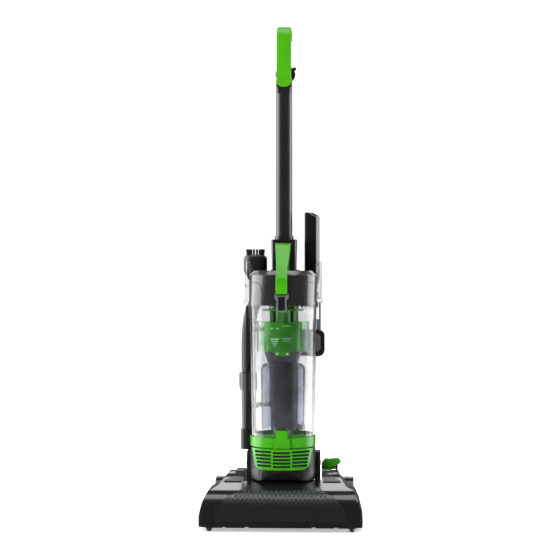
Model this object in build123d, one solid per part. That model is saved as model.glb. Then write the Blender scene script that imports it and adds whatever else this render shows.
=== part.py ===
"""Upright bagless vacuum cleaner, as an assembly of separate pieces, in millimetres.

+X is the user's right hand when facing the front, +Y points to the back and +Z up. The origin is on the floor,
in the middle of the machine's footprint. The upright stands locked at rest and leans back about the pivot axis.
"""
from build123d import *
from math import cos, radians, sin, tan
import os

# Overall sizes
NOZZLE_WIDTH = 345.0
DEPTH = 280.0
HEIGHT = 1088.0
WALL = 2.5
GAP = 0.4            # clearance round pieces that slide or lift out
RUNNING = 0.06       # radial clearance of shafts in their bores

# Floor head
FRONT_Y = -DEPTH / 2
SOLE_Z = 9.0
HOOD_EDGE_Z = 80.0   # height of the edge between the front face and the top
HOOD_TOP_Z = 94.0
HOOD_BACK_Y = -8.0
WING_BACK_Y = -40.0
CROWN_PROUD = 1.0
BOSS_X = 16.0        # screw bosses of the soleplate
CHEEK_X = 157.0      # where the end caps meet the hood
ARM_IN_X = 84.0
ARM_OUT_X = 121.0
ARM_BACK_Y = 116.0
SHOULDER_Z = 106.0
BOSS_Z = 112.0

# Wheels, rollers and brush roll
WHEEL_R = 45.0
WHEEL_WIDTH = 29.0
WHEEL_X = 124.5      # inner face of each rear wheel
WHEEL_Y = DEPTH / 2 - WHEEL_R
AXLE_R = 5.0
ROLLER_R = 8.0
ROLLER_WIDTH = 9.0
ROLLER_X = 149.5
ROLLER_Y = -126.0
BRUSH_Y = -96.0
BRUSH_Z = 27.0
BRUSH_CORE_R = 15.0
BRISTLE_LONG = 10.5
BRUSH_HALF = 138.0
BELT_X = 56.0
BELT_WIDTH = 9.0
BELT_THICK = 2.0
BRUSH_PULLEY_R = 12.0
MOTOR_PULLEY_R = 6.0

# Pivot, motor and motor base
PIVOT_Y = 45.0
PIVOT_Z = 62.0
DRUM_R = 50.0
DRUM_LEFT_X = -66.0
DRUM_RIGHT_X = 44.0
YOKE_IN_X = 68.0
YOKE_OUT_X = 80.0
YOKE_TOP_Z = 152.0
PIVOT_PIN_R = 9.0
MOTOR_R = 38.0
MOTOR_HALF = 34.0
SHAFT_R = 3.0
TOWER_R = 70.0
TOWER_LOW_Z = 97.0
TOWER_TOP_Z = 166.0

# Dust cup
CUP_Y = 5.0
DOOR_LOW_Z = 167.0
DOOR_TOP_Z = 190.0
DOOR_R = 71.0
CUP_LOW_R = 68.0
CUP_TOP_R = 73.0
CUP_TOP_Z = 478.0
LID_R = 73.5
LID_TOP_Z = 547.0
LID_CHAMFER = 10.0
SHROUD_R = 41.0
SHROUD_LOW_Z = 372.0
SHROUD_TOP_Z = 436.0
PLATE_Z = 462.0
COLUMN_R = 27.0

# Spine, collar, pole and handle
SPINE_HALF = 31.0
SPINE_FRONT_Y = 80.0
SPINE_BACK_Y = 104.0
COLLAR_HALF = 27.5
COLLAR_LOW_Z = 550.0
COLLAR_TOP_Z = 616.0
POLE_Y = 62.0
POLE_R = 18.0
POLE_TOP_Z = 938.0
GRIP_LOW_Z = 952.0
GRIP_HALF = 16.0
LOOP_DEEP = 62.0     # handle loop, front to back
HOOK_Z = 990.0

# Recline pedal: it turns about a pin on a post that stands on the right shoulder
PEDAL_X = 108.0
PEDAL_Y = 84.0
PEDAL_Z = 112.0

# Hose and tools
HOSE_R = 14.0
HOSE_X = -81.0
HOSE_Y = 72.0
CUFF_TOP_Z = 322.0
CUFF_LOW_Z = 284.0
SOCKET_Z = 186.0
CREVICE_X = 61.0
CREVICE_LONG = 32.0
CREVICE_THICK = 17.0
CREVICE_TURN = -35.0
CREVICE_TOP_Z = 677.0
CREVICE_LOW_Z = 468.0
TOOL_Y = 88.0
DUSTER_X = -65.0
DUSTER_R = 26.0
DUSTER_TOP_Z = 583.0
DUSTER_LOW_Z = 527.0
TUFT_LONG = 12.0


# ---- Shapes that many pieces use ----
def block(x0, x1, y0, y1, z0, z1):
    """Box between two corners."""
    return Pos((x0 + x1) / 2, (y0 + y1) / 2, (z0 + z1) / 2) * Box(x1 - x0, y1 - y0, z1 - z0)


def rod_x(r, x0, x1, y, z):
    """Round bar along X."""
    return Pos((x0 + x1) / 2, y, z) * Rot(0, 90, 0) * Cylinder(r, x1 - x0)


def rod_y(r, y0, y1, x, z):
    """Round bar along Y."""
    return Pos(x, (y0 + y1) / 2, z) * Rot(90, 0, 0) * Cylinder(r, y1 - y0)


def rod_z(r, z0, z1, x, y):
    """Round bar along Z."""
    return Pos(x, y, (z0 + z1) / 2) * Cylinder(r, z1 - z0)


def ring_x(outer, inner, x0, x1, y, z):
    """Round tube along X."""
    return rod_x(outer, x0, x1, y, z) - rod_x(inner, x0 - 1, x1 + 1, y, z)


def ring_z(outer, inner, z0, z1, x, y):
    """Round tube along Z."""
    return rod_z(outer, z0, z1, x, y) - rod_z(inner, z0 - 1, z1 + 1, x, y)


def side_prism(face, x0, x1):
    """A face drawn as (Y, Z), carried along X from x0 to x1."""
    return Pos(x0, 0, 0) * extrude(Plane.YZ * face, amount=x1 - x0, dir=(1, 0, 0))


def front_prism(face, y0, y1):
    """A face drawn as (X, Z), carried along Y from y0 to y1."""
    return Pos(0, y0, 0) * extrude(Plane.XZ * face, amount=y1 - y0, dir=(0, 1, 0))


def plan_prism(face, z0, z1):
    """A face drawn as (X, Y), carried along Z from z0 to z1."""
    return Pos(0, 0, z0) * extrude(face, amount=z1 - z0, dir=(0, 0, 1))


def outline(*points, round_at=None):
    """Flat face through the points; round_at maps a point's number to its corner radius."""
    face = Polygon(*points, align=None)
    for number, radius in (round_at or {}).items():
        x, y = points[number]
        corner = face.vertices().sort_by_distance((x, y, 0))[0]
        face = fillet(corner, radius)
    return face


def both_halves(right, round_at):
    """Flat face from the points of its right half, mirrored to the left with the same corner radii."""
    last = 2 * len(right) - 1
    rounds = {**round_at, **{last - number: radius for number, radius in round_at.items()}}
    return outline(*right, *[(-x, z) for x, z in reversed(right)], round_at=rounds)


def inset(face, amount):
    """The face with its outline moved inwards (outwards if amount is negative)."""
    return offset(face, amount=-amount, kind=Kind.INTERSECTION) if amount else face


def mirror_x(shape):
    """The same piece on the other side."""
    return mirror(shape, about=Plane.YZ)


def both_sides(shape):
    """The piece and its mirror image, as one item."""
    return Compound(children=[shape, mirror_x(shape)])


def cone_z(r_low, r_top, z0, z1, x, y):
    """Tapered round bar along Z."""
    return Pos(x, y, (z0 + z1) / 2) * Cone(r_low, r_top, z1 - z0)


def countersunk_screw(length, head_r=3.6, shank_r=1.7):
    """Screw along +Z with its head at the bottom, tip up, head face at the origin."""
    head = Pos(0, 0, 1) * Cone(head_r, shank_r, 2)
    shank = Pos(0, 0, 1 + length / 2) * Cylinder(shank_r, length)
    slot = Box(2 * head_r, 0.8, 1.6)
    return head + shank - slot


# ---- Floor head ----
def head_side():
    """Side outline of the front of the floor head."""
    return outline(
        (FRONT_Y, SOLE_Z + 3), (FRONT_Y, 50), (FRONT_Y + 28, HOOD_EDGE_Z), (-30, HOOD_TOP_Z),
        (HOOD_BACK_Y, HOOD_TOP_Z), (HOOD_BACK_Y, SOLE_Z + 3), round_at={1: 40, 2: 60})


def head_front():
    """Front outline shared by the hood and both shoulders."""
    half = NOZZLE_WIDTH / 2
    right = [(half, SOLE_Z + 3), (half, 32), (half - 8, 62), (half - 17, HOOD_EDGE_Z), (136, 89),
             (119, SHOULDER_Z), (105, SHOULDER_Z), (103, BOSS_Z)]
    return both_halves(right, {1: 20, 2: 30, 3: 8, 4: 6, 5: 5})


def head_plan():
    """Plan of the hood: the front bar with a stub back to the pivot."""
    half = NOZZLE_WIDTH / 2
    right = [(half - 22, FRONT_Y), (half, FRONT_Y + 12), (half, WING_BACK_Y), (ARM_IN_X - 1, WING_BACK_Y),
             (ARM_IN_X - 1, HOOD_BACK_Y)]
    return both_halves(right, {0: 20, 1: 8})


def head_form(amount):
    """Solid shape of the floor head's front, moved inwards by amount."""
    return (side_prism(inset(head_side(), amount), -200, 200) & front_prism(inset(head_front(), amount), -200, 200)
            & plan_prism(inset(head_plan(), amount), 0, 130))


def open_below(form, z):
    """The form with room below it, so that a shell cut with it is open underneath."""
    return form + Pos(0, 0, -z) * form


def crown_arch(grow):
    """Arch that bounds the textured crown, seen from the front."""
    half, foot, top = 139 + grow, 22 - grow, BOSS_Z
    right = [(half, foot), (half, 48), (112, 72 + grow), (84, 84 + grow), (50, HOOD_TOP_Z + 2), (50, top)]
    return both_halves(right, {0: 6, 1: 20, 2: 30, 3: 30})


def crown_region(grow):
    """Room of the crown cover, which ends short of the hood's back walls."""
    whole = front_prism(crown_arch(grow), FRONT_Y - 10, WING_BACK_Y - 3.4 + grow)
    stub = front_prism(crown_arch(grow), WING_BACK_Y - 10, HOOD_BACK_Y - 4 + grow)
    return whole + (stub & block(-79 - grow, 79 + grow, -200, 0, 0, 200))


def belt_window():
    """Way for the belt through the back wall of the hood."""
    return block(BELT_X - 10, BELT_X + 10, HOOD_BACK_Y - 12, HOOD_BACK_Y + 2, 30, 88)


def nozzle_hood(form, hollow, arch_room):
    """Glossy cover over the brush chamber, without the crown and end caps."""
    shell = form - open_below(hollow, 6)
    middle = block(-CHEEK_X + 0.3, CHEEK_X - 0.3, -200, 200, 0, 200)
    duct_way = block(-62, -26, HOOD_BACK_Y - 12, HOOD_BACK_Y + 2, 36, 84)
    return (shell & middle) - arch_room - belt_window() - duct_way


def end_cap(form, hollow):
    """Cheek that closes the right end of the brush chamber and carries the brush spindle."""
    outside = block(CHEEK_X, 200, -200, 200, 0, 200)
    wall = block(CHEEK_X, CHEEK_X + WALL, ROLLER_Y + 8, WING_BACK_Y - 3, SOLE_Z + 8, 70)
    carrier = block(BRUSH_HALF - 9, CHEEK_X, BRUSH_Y - 14, BRUSH_Y + 14, SOLE_Z + 8.5, BRUSH_Z + 14)
    carrier -= rod_x(4, 0, BRUSH_HALF - 3, BRUSH_Y, BRUSH_Z)
    return ((form - open_below(hollow, 6)) & outside) + (wall & form) + carrier


def crown_cover():
    """Textured cover plate set into the hood between two arched seams."""
    plate = head_form(-CROWN_PROUD) - open_below(head_form(2.0), 6)
    return (plate & crown_region(0)) + screw_bosses()


def soleplate():
    """Bottom plate with the brush opening and the notches in its front lip."""
    plan = inset(head_plan(), 0.5)
    plate = plan_prism(plan, SOLE_Z, SOLE_Z + 3)
    lip = plan_prism(inset(plan, WALL + GAP) - inset(plan, WALL + GAP + 3), SOLE_Z + 3, SOLE_Z + 8)
    mouth = block(-BRUSH_HALF - 1, BRUSH_HALF + 1, BRUSH_Y - 27, BRUSH_Y + 27, 0, 40)
    whole = plate + lip - mouth
    for x in (-117, -70, 70, 117):
        whole -= block(x - 4, x + 4, FRONT_Y - 2, BRUSH_Y - 26, SOLE_Z - 1, SOLE_Z + 2)
    for x in (-1, 1):
        whole -= block(x * ROLLER_X - 7.6, x * ROLLER_X + 7.6, ROLLER_Y - 9, ROLLER_Y + 9, 0, 40)
        for y in (-62, -48):
            whole -= Pos(x * BOSS_X, y, SOLE_Z + 1) * Cone(3.6, 1.7, 2) + rod_z(1.7, 0, 20, x * BOSS_X, y)
    for x in (-50, -34, 34, 50):
        whole -= block(x - 2, x + 2, -62, -20, SOLE_Z - 1, SOLE_Z + 1)
    return whole


def sole_screws():
    """Four countersunk screws that hold the soleplate to the bosses above it."""
    screw = countersunk_screw(9)
    return Compound(children=[Pos(x * BOSS_X, y, SOLE_Z) * screw for x in (-1, 1) for y in (-62, -48)])


def screw_bosses():
    """Two columns under the crown that take the soleplate's screws."""
    solids = block(BOSS_X - 5, BOSS_X + 5, -67, -43, SOLE_Z + 3, HOOD_TOP_Z + 20)
    for y in (-62, -48):
        solids -= rod_z(1.7, 0, 40, BOSS_X, y)
    return (solids + mirror_x(solids)) & head_form(0)


def brush_roll():
    """Hollow roll with ribbed ends and a grooved pulley for the belt."""
    body = rod_x(BRUSH_CORE_R, -BRUSH_HALF + 12, BRUSH_HALF - 12, BRUSH_Y, BRUSH_Z)
    for x in (-1, 1):
        body += rod_x(BRUSH_CORE_R + 3, x * (BRUSH_HALF - 11) - 2, x * (BRUSH_HALF - 11) + 2, BRUSH_Y, BRUSH_Z)
    body -= ring_x(BRUSH_CORE_R + 5, BRUSH_PULLEY_R, BELT_X - 7, BELT_X + 7, BRUSH_Y, BRUSH_Z)
    return body - rod_x(4 + RUNNING, -200, 200, BRUSH_Y, BRUSH_Z)


def brush_spindle():
    """Steel spindle through the roll, held still in the end bearings."""
    return rod_x(4, -BRUSH_HALF + 3, BRUSH_HALF - 3, BRUSH_Y, BRUSH_Z)


def brush_bristles():
    """Rows of tufts on two helical lines round the roll."""
    tufts = []
    count = 25
    for row in range(4):
        for n in range(count):
            x = -BRUSH_HALF + 22 + n * (2 * BRUSH_HALF - 44) / (count - 1)
            if abs(x - BELT_X) < 12:
                continue
            turn = row * 90 + (abs(x) / BRUSH_HALF) * 80
            tuft = Pos(x, BRUSH_Y, BRUSH_Z) * Rot(turn, 0, 0) * Pos(0, 0, BRUSH_CORE_R + BRISTLE_LONG / 2)
            tufts.append(tuft * Cylinder(1.9, BRISTLE_LONG))
    return Compound(children=tufts)


def drive_belt():
    """Flat belt from the motor pulley to the brush roll."""
    def loop(extra):
        near = Pos(PIVOT_Y, PIVOT_Z) * Circle(MOTOR_PULLEY_R + extra)
        far = Pos(BRUSH_Y, BRUSH_Z) * Circle(BRUSH_PULLEY_R + extra)
        return make_hull([*near.edges(), *far.edges()])

    ring = loop(BELT_THICK + 0.1) - loop(0.1)
    return side_prism(ring, BELT_X - BELT_WIDTH / 2, BELT_X + BELT_WIDTH / 2)


def belt_guard():
    """Channel that covers the belt between the hood and the motor pulley."""
    def shape(r, x0, x1, front):
        strip = block(x0, x1, front, PIVOT_Y, PIVOT_Z - r - 5, PIVOT_Z + r)
        return strip + rod_x(r + 5, x0, x1, PIVOT_Y, PIVOT_Z)
    outer = shape(24, BELT_X - 10.5, BELT_X + 10.5, HOOD_BACK_Y)
    inner = shape(21.5, BELT_X - 8.5, BELT_X + 8.5, HOOD_BACK_Y - 1)
    return outer - inner - rod_x(6, DRUM_RIGHT_X, BELT_X, PIVOT_Y, PIVOT_Z)


def suction_duct():
    """Duct from the brush chamber back to the pivot seal."""
    outer = block(-60, -28, BRUSH_Y + 30, HOOD_BACK_Y + 1.5, 38, 82)
    inner = block(-57.5, -30.5, BRUSH_Y + 20, HOOD_BACK_Y + 4, 40.5, 79.5)
    return outer - inner


def shoulder_form(amount):
    """Solid shape of the right shoulder over the arm, moved inwards by amount."""
    side = outline((WING_BACK_Y + 0.5, 14), (WING_BACK_Y + 0.5, 92.5), (-4, 100), (18, BOSS_Z), (72, BOSS_Z),
                   (96, 92), (ARM_BACK_Y, 62), (ARM_BACK_Y, 14), round_at={2: 25, 3: 14, 4: 25, 5: 25, 6: 15})
    plan = outline((ARM_IN_X, WING_BACK_Y + 0.5), (NOZZLE_WIDTH / 2 - 3, WING_BACK_Y + 0.5),
                   (NOZZLE_WIDTH / 2 - 8, -22), (127, 40), (ARM_OUT_X, 44), (ARM_OUT_X, ARM_BACK_Y),
                   (ARM_IN_X, ARM_BACK_Y), round_at={2: 20, 3: 5})
    return (side_prism(inset(side, amount), 0, 200) & front_prism(inset(head_front(), amount), -200, 200)
            & plan_prism(inset(plan, amount), 0, 130))


def shoulder(form):
    """Grey cover over the right arm and its wheel axle."""
    shell = form - open_below(shoulder_form(WALL), 8)
    shell -= rod_x(PIVOT_PIN_R + 0.3, 0, 100, PIVOT_Y, PIVOT_Z)
    return shell - rod_x(AXLE_R + 4.5, 100, 200, WHEEL_Y, WHEEL_R)


def arm(x_side):
    """Structural arm inside the right shoulder, from the hood back to the wheel."""
    inner = shoulder_form(WALL + 0.5) & block(0, 200, WING_BACK_Y + 4, 200, 12, 200)
    pocket = shoulder_form(WALL + 5) & block(0, 200, 0, 200, 0, 200)
    ribs = block(ARM_IN_X + 3, ARM_OUT_X - 3, PIVOT_Y - 14, PIVOT_Y + 14, 14.5, PIVOT_Z + 18)
    ribs += block(ARM_IN_X + 3, ARM_OUT_X - 3, WHEEL_Y - 10, WHEEL_Y + 10, 14.5, WHEEL_R + 10)
    beam = (inner - open_below(pocket, 8)) + (ribs & inner)
    beam -= rod_x(PIVOT_PIN_R, 0, 110, PIVOT_Y, PIVOT_Z)
    beam -= rod_x(AXLE_R, 95, 200, WHEEL_Y, WHEEL_R)
    if x_side > 0:
        beam -= pedal_room()
    return beam


def foot_pad(form):
    """Dark ribbed pad laid on the sloping top of the right shoulder, beside the pivot."""
    pad = outline((88, -37), (128, -37), (108, -6), (88, -6), round_at={0: 3, 1: 3, 2: 3, 3: 3})
    grown = shoulder_form(-1.6) & plan_prism(pad, 60, 130)
    return grown - form


def pivot_pin():
    """Trunnion on which the upright turns, pressed into the right arm."""
    return rod_x(PIVOT_PIN_R, YOKE_IN_X + 1, 108, PIVOT_Y, PIVOT_Z) + rod_x(
        PIVOT_PIN_R + 3, YOKE_OUT_X + 0.5, ARM_IN_X - 0.4, PIVOT_Y, PIVOT_Z)


def wheel_axle():
    """Stub axle of the right rear wheel, pressed into the arm, with a retaining head."""
    shaft = rod_x(AXLE_R, 98, WHEEL_X + WHEEL_WIDTH - 2, WHEEL_Y, WHEEL_R)
    return shaft + rod_x(AXLE_R + 3, WHEEL_X + WHEEL_WIDTH - 2, WHEEL_X + WHEEL_WIDTH, WHEEL_Y, WHEEL_R)


def rear_wheel():
    """Right rear wheel: hub, web with openings and a rounded, grooved tread."""
    x0, x1 = WHEEL_X, WHEEL_X + WHEEL_WIDTH
    tread = fillet(rod_x(WHEEL_R, x0, x1, WHEEL_Y, WHEEL_R).edges(), 3.5)
    for start, end in ((x0 - 1, x0 + 9), (x1 - 7, x1 + 1)):
        tread -= ring_x(WHEEL_R - 7, 11, start, end, WHEEL_Y, WHEEL_R)
    for n in range(6):
        turn = radians(60 * n)
        tread -= rod_x(7, x0, x1, WHEEL_Y + 24 * cos(turn), WHEEL_R + 24 * sin(turn))
    for x in (x0 + 7, x1 - 7):
        tread -= ring_x(WHEEL_R + 1, WHEEL_R - 1.5, x - 1, x + 1, WHEEL_Y, WHEEL_R)
    tread -= rod_x(AXLE_R + RUNNING, x0 - 1, x1 + 1, WHEEL_Y, WHEEL_R)
    return tread - rod_x(AXLE_R + 3.4, x1 - 2.4, x1 + 1, WHEEL_Y, WHEEL_R)


def front_roller():
    """Small roller under the right front corner."""
    x0, x1 = ROLLER_X - ROLLER_WIDTH / 2, ROLLER_X + ROLLER_WIDTH / 2
    return ring_x(ROLLER_R, 2 + RUNNING, x0, x1, ROLLER_Y, ROLLER_R)


def roller_axle():
    """Pin of the right front roller with its hanger, which stands on the soleplate."""
    x, y = ROLLER_X, ROLLER_Y
    pin = rod_x(2, x - 7, x + 7, y, ROLLER_R) + block(x - 9.5, x + 7, y - 3, y + 3, 16.6, 19)
    for side in (-1, 1):
        pin += rod_x(3.4, x + side * 6 - 1, x + side * 6 + 1, y, ROLLER_R + 0.5)
        pin += block(x + side * 6 - 1, x + side * 6 + 1, y - 3, y + 3, ROLLER_R, 17)
    return pin + block(x - 9.5, x - 7.7, y - 3, y + 3, SOLE_Z + 3, 17)




def pedal_room():
    """Hole for the pedal post down into the right arm."""
    return block(PEDAL_X - 6.2, PEDAL_X + 6.2, PEDAL_Y - 9.2, PEDAL_Y + 9.2, 60, 140) + block(
        PEDAL_X - 10.8, PEDAL_X + 10.8, PEDAL_Y - 9.2, PEDAL_Y + 9.2, PEDAL_Z - 18, 140)


def pedal_post():
    """Post with two ears and the steel pin that the pedal turns on."""
    post = block(PEDAL_X - 5.8, PEDAL_X + 5.8, PEDAL_Y - 9, PEDAL_Y + 9, 62, PEDAL_Z - 7)
    ear = Pos(PEDAL_Y, PEDAL_Z - 6.5) * Rectangle(12, 13) + Pos(PEDAL_Y, PEDAL_Z) * Circle(6)
    for x in (PEDAL_X - 8, PEDAL_X + 8):
        post += side_prism(ear, x - 2.2, x + 2.2)
    return post + rod_x(2.5, PEDAL_X - 10.2, PEDAL_X + 10.2, PEDAL_Y, PEDAL_Z)


def recline_pedal():
    """Green pedal: a blade that rises outwards, on a hub round the pin."""
    blade = outline((82.3, 107.5), (82.3, 121), (90, 130.5), (99, 129.5), (119, 131.5), (125.5, 125), (121, 119),
                    (110, 117), (102, 109.5), (94, 107.5),
                    round_at={0: 3, 1: 5, 2: 4, 3: 8, 4: 3, 5: 2, 6: 2, 7: 4, 8: 4, 9: 3})
    body = front_prism(blade, PEDAL_Y - 5, PEDAL_Y + 15)
    body &= side_prism(outline((PEDAL_Y - 5, 100), (PEDAL_Y - 5, 127), (PEDAL_Y + 1, 134), (PEDAL_Y + 16, 134),
                               (PEDAL_Y + 16, 100)), 0, 200)
    body -= block(PEDAL_X - 12, PEDAL_X + 12, PEDAL_Y - 20, PEDAL_Y + 20, 80, PEDAL_Z + 7.5)
    hub = rod_x(5, PEDAL_X - 5.2, PEDAL_X + 5.2, PEDAL_Y, PEDAL_Z)
    web = block(PEDAL_X - 5.2, PEDAL_X + 5.2, PEDAL_Y - 1.5, PEDAL_Y + 4.5, PEDAL_Z, PEDAL_Z + 13)
    return body + hub + web - rod_x(2.5 + RUNNING, 0, 200, PEDAL_Y, PEDAL_Z)


# ---- Upright: motor base, spine and collar ----
def drum(amount):
    """Horizontal drum round the motor, on the pivot axis."""
    return rod_x(DRUM_R - amount, DRUM_LEFT_X + amount, DRUM_RIGHT_X - amount, PIVOT_Y, PIVOT_Z)


def tower_plan(amount):
    """Plan of the tower: round at the front, square at the back where the spine stands."""
    back = Pos(0, (CUP_Y + SPINE_BACK_Y) / 2) * Rectangle(2 * TOWER_R - 16, SPINE_BACK_Y - CUP_Y)
    return inset(Pos(0, CUP_Y) * Circle(TOWER_R) + back, amount)


def tower(amount):
    """Block above the drum that carries the cup, with a bowl-shaped underside."""
    low = TOWER_LOW_Z + amount
    side = outline((-70, TOWER_TOP_Z - amount), (-70, 122 + amount), (-50, low), (SPINE_BACK_Y + 1, low),
                   (SPINE_BACK_Y + 1, TOWER_TOP_Z - amount), round_at={1: 22, 2: 12})
    return plan_prism(tower_plan(amount), low, TOWER_TOP_Z - amount) & side_prism(side, -100, 100)


def grille_outline(grow):
    """Front outline of the exhaust grille: a bucket with rounded lower corners."""
    top = TOWER_TOP_Z + 3
    return outline((-66 - grow, top), (-57 - grow, 121 - grow), (57 + grow, 121 - grow), (66 + grow, top),
                   round_at={1: 16, 2: 16})


def motor_base():
    """Black housing: motor drum, tower, the seat of the grille and the elbow for the hose tube."""
    hollow = drum(WALL) + tower(WALL) + block(-60, 40, PIVOT_Y - 30, PIVOT_Y + 30, 80, 110)
    recess, wall = grille_seat()
    shell = drum(0) + tower(0) - hollow - recess + wall + hose_socket()
    for x in (-20, 12):
        shell += ring_x(DRUM_R - 1, MOTOR_R, x - 2, x + 2, PIVOT_Y, PIVOT_Z) - block(-60, 60, 0, 100, 80, 200)
    shell -= rod_x(SHAFT_R + 3, DRUM_RIGHT_X - 5, DRUM_RIGHT_X + 5, PIVOT_Y, PIVOT_Z)
    shell -= block(-58, -34, PIVOT_Y - DRUM_R - 2, PIVOT_Y - DRUM_R + 10, 44, 76)
    return shell - screw_ways() - hose_socket_way()


def yoke():
    """Right side plate of the motor base, which hangs on the trunnion, and its spacer to the tower."""
    side = outline((PIVOT_Y - 33, PIVOT_Z), (20, YOKE_TOP_Z - 8), (26, YOKE_TOP_Z), (70, YOKE_TOP_Z),
                   (PIVOT_Y + 33, YOKE_TOP_Z - 10), (PIVOT_Y + 33, PIVOT_Z))
    plate = side_prism(side, YOKE_IN_X, YOKE_OUT_X) + rod_x(33, YOKE_IN_X, YOKE_OUT_X, PIVOT_Y, PIVOT_Z)
    spacer = block(40, YOKE_IN_X, 24, 72, PIVOT_Z + DRUM_R + 1, YOKE_TOP_Z - 6)
    whole = plate + spacer - plan_prism(tower_plan(0), 90, 180)
    return whole - rod_x(PIVOT_PIN_R + RUNNING, 0, 100, PIVOT_Y, PIVOT_Z) - screw_ways()


def motor_case():
    """Fan motor: a ribbed can with end bells, around the pivot axis."""
    can = rod_x(MOTOR_R, -MOTOR_HALF, MOTOR_HALF - 8, PIVOT_Y, PIVOT_Z)
    can += rod_x(MOTOR_R - 8, MOTOR_HALF - 8, MOTOR_HALF, PIVOT_Y, PIVOT_Z)
    can -= rod_x(MOTOR_R - 3, -MOTOR_HALF + 3, MOTOR_HALF - 11, PIVOT_Y, PIVOT_Z)
    for n in range(8):
        turn = radians(45 * n + 22.5)
        can -= rod_x(3.5, MOTOR_HALF - 12, MOTOR_HALF + 1, PIVOT_Y + 20 * cos(turn), PIVOT_Z + 20 * sin(turn))
    return can - rod_x(SHAFT_R + RUNNING, -60, 60, PIVOT_Y, PIVOT_Z)


def motor_field():
    """Field winding, pressed inside the motor can."""
    return ring_x(MOTOR_R - 3, 22, -8, 16, PIVOT_Y, PIVOT_Z)


def motor_rotor():
    """Armature, commutator and shaft, with the flanged belt pulley on its right end."""
    shaft = rod_x(SHAFT_R, -MOTOR_HALF - 12, BELT_X + 7, PIVOT_Y, PIVOT_Z)
    core = rod_x(20, -8, 16, PIVOT_Y, PIVOT_Z) + rod_x(9, -26, -12, PIVOT_Y, PIVOT_Z)
    pulley = rod_x(MOTOR_PULLEY_R, BELT_X - 5, BELT_X + 5, PIVOT_Y, PIVOT_Z)
    for x in (-6, 6):
        pulley += rod_x(MOTOR_PULLEY_R + 3.5, BELT_X + x - 0.8, BELT_X + x + 0.8, PIVOT_Y, PIVOT_Z)
    return shaft + core + pulley


def fan_impeller():
    """Suction fan: two discs with curved blades between them."""
    x0 = -MOTOR_HALF - 10
    fan = rod_x(31, x0, x0 + 1.5, PIVOT_Y, PIVOT_Z) + ring_x(31, 12, x0 + 7, x0 + 8.5, PIVOT_Y, PIVOT_Z)
    for n in range(9):
        turn = 40 * n
        blade = Pos(x0 + 4.2, PIVOT_Y, PIVOT_Z) * Rot(turn, 0, 0) * Pos(0, 4, 20) * Rot(25, 0, 0) * Box(7, 1.2, 20)
        fan += blade
    fan += rod_x(6, x0, x0 + 8.5, PIVOT_Y, PIVOT_Z)
    return fan - rod_x(SHAFT_R, -80, 0, PIVOT_Y, PIVOT_Z)


def exhaust_grille():
    """Green curved grille in front of the exhaust filter, with three columns of louvres."""
    shell = ring_z(TOWER_R + 3, TOWER_R, 100, TOWER_TOP_Z, 0, CUP_Y)
    lip = ring_z(TOWER_R + 0.5, TOWER_R - 5, 100, TOWER_TOP_Z, 0, CUP_Y)
    panel = front_prism(grille_outline(0), -100, CUP_Y) & shell
    rim = (front_prism(grille_outline(0), -100, CUP_Y) - front_prism(grille_outline(-3), -101, CUP_Y + 1)) & lip
    top = block(-63, 63, -100, CUP_Y - 20, TOWER_TOP_Z - 3, TOWER_TOP_Z) & lip
    whole = panel + rim + top
    for row in range(5):
        z = 159.5 - row * 7.4
        whole -= block(-58.5 + row * 1.4, -22.5, -100, -15, z - 2.3, z + 2.3)
        whole -= block(22.5, 58.5 - row * 1.4, -100, -15, z - 2.3, z + 2.3)
        whole -= block(-18.5, 18.5, -100, -15, z - 3.8, z + 0.8)
    return whole


def exhaust_filter():
    """Pleated filter block behind the grille."""
    outer = front_prism(grille_outline(-4), -100, CUP_Y - 20)
    return outer & ring_z(TOWER_R - 0.6, TOWER_R - 6, 124, TOWER_TOP_Z - 3.6, 0, CUP_Y)


def spine():
    """Hollow back post from the motor base up to the collar, with the elbow that takes the hose."""
    plan = fillet(Rectangle(2 * SPINE_HALF, SPINE_BACK_Y - SPINE_FRONT_Y).vertices(), 8)
    middle = (SPINE_FRONT_Y + SPINE_BACK_Y) / 2
    outer = plan_prism(Pos(0, middle) * plan, TOWER_TOP_Z, COLLAR_LOW_Z)
    bore = plan_prism(Pos(0, middle) * inset(plan, WALL), TOWER_TOP_Z - 1, COLLAR_LOW_Z - 4)
    flange = block(-48, 48, SPINE_FRONT_Y, SPINE_BACK_Y, TOWER_TOP_Z, TOWER_TOP_Z + 5)
    return outer + flange - bore + hose_elbow()


def collar():
    """Socket on top of the spine that takes the pole."""
    plan = outline((-COLLAR_HALF, 36), (-COLLAR_HALF, SPINE_BACK_Y), (COLLAR_HALF, SPINE_BACK_Y),
                   (COLLAR_HALF, 36), round_at={0: 9, 1: 9, 2: 9, 3: 9})
    body = plan_prism(plan, COLLAR_LOW_Z, COLLAR_TOP_Z)
    body &= front_prism(outline((-COLLAR_HALF + 1.5, COLLAR_LOW_Z), (-COLLAR_HALF, COLLAR_TOP_Z),
                                (COLLAR_HALF, COLLAR_TOP_Z), (COLLAR_HALF - 1.5, COLLAR_LOW_Z)), 0, 200)
    body -= rod_z(POLE_R, COLLAR_LOW_Z + 6, COLLAR_TOP_Z + 1, 0, POLE_Y)
    return body - rod_y(2.2, 78, 130, 0, 596) - rod_y(4, SPINE_BACK_Y - 2, 130, 0, 596)


def collar_screw():
    """Screw through the back of the collar into the pole."""
    return rod_y(2.2, 79, SPINE_BACK_Y - 2, 0, 596) + rod_y(4, SPINE_BACK_Y - 2, SPINE_BACK_Y, 0, 596)


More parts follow.
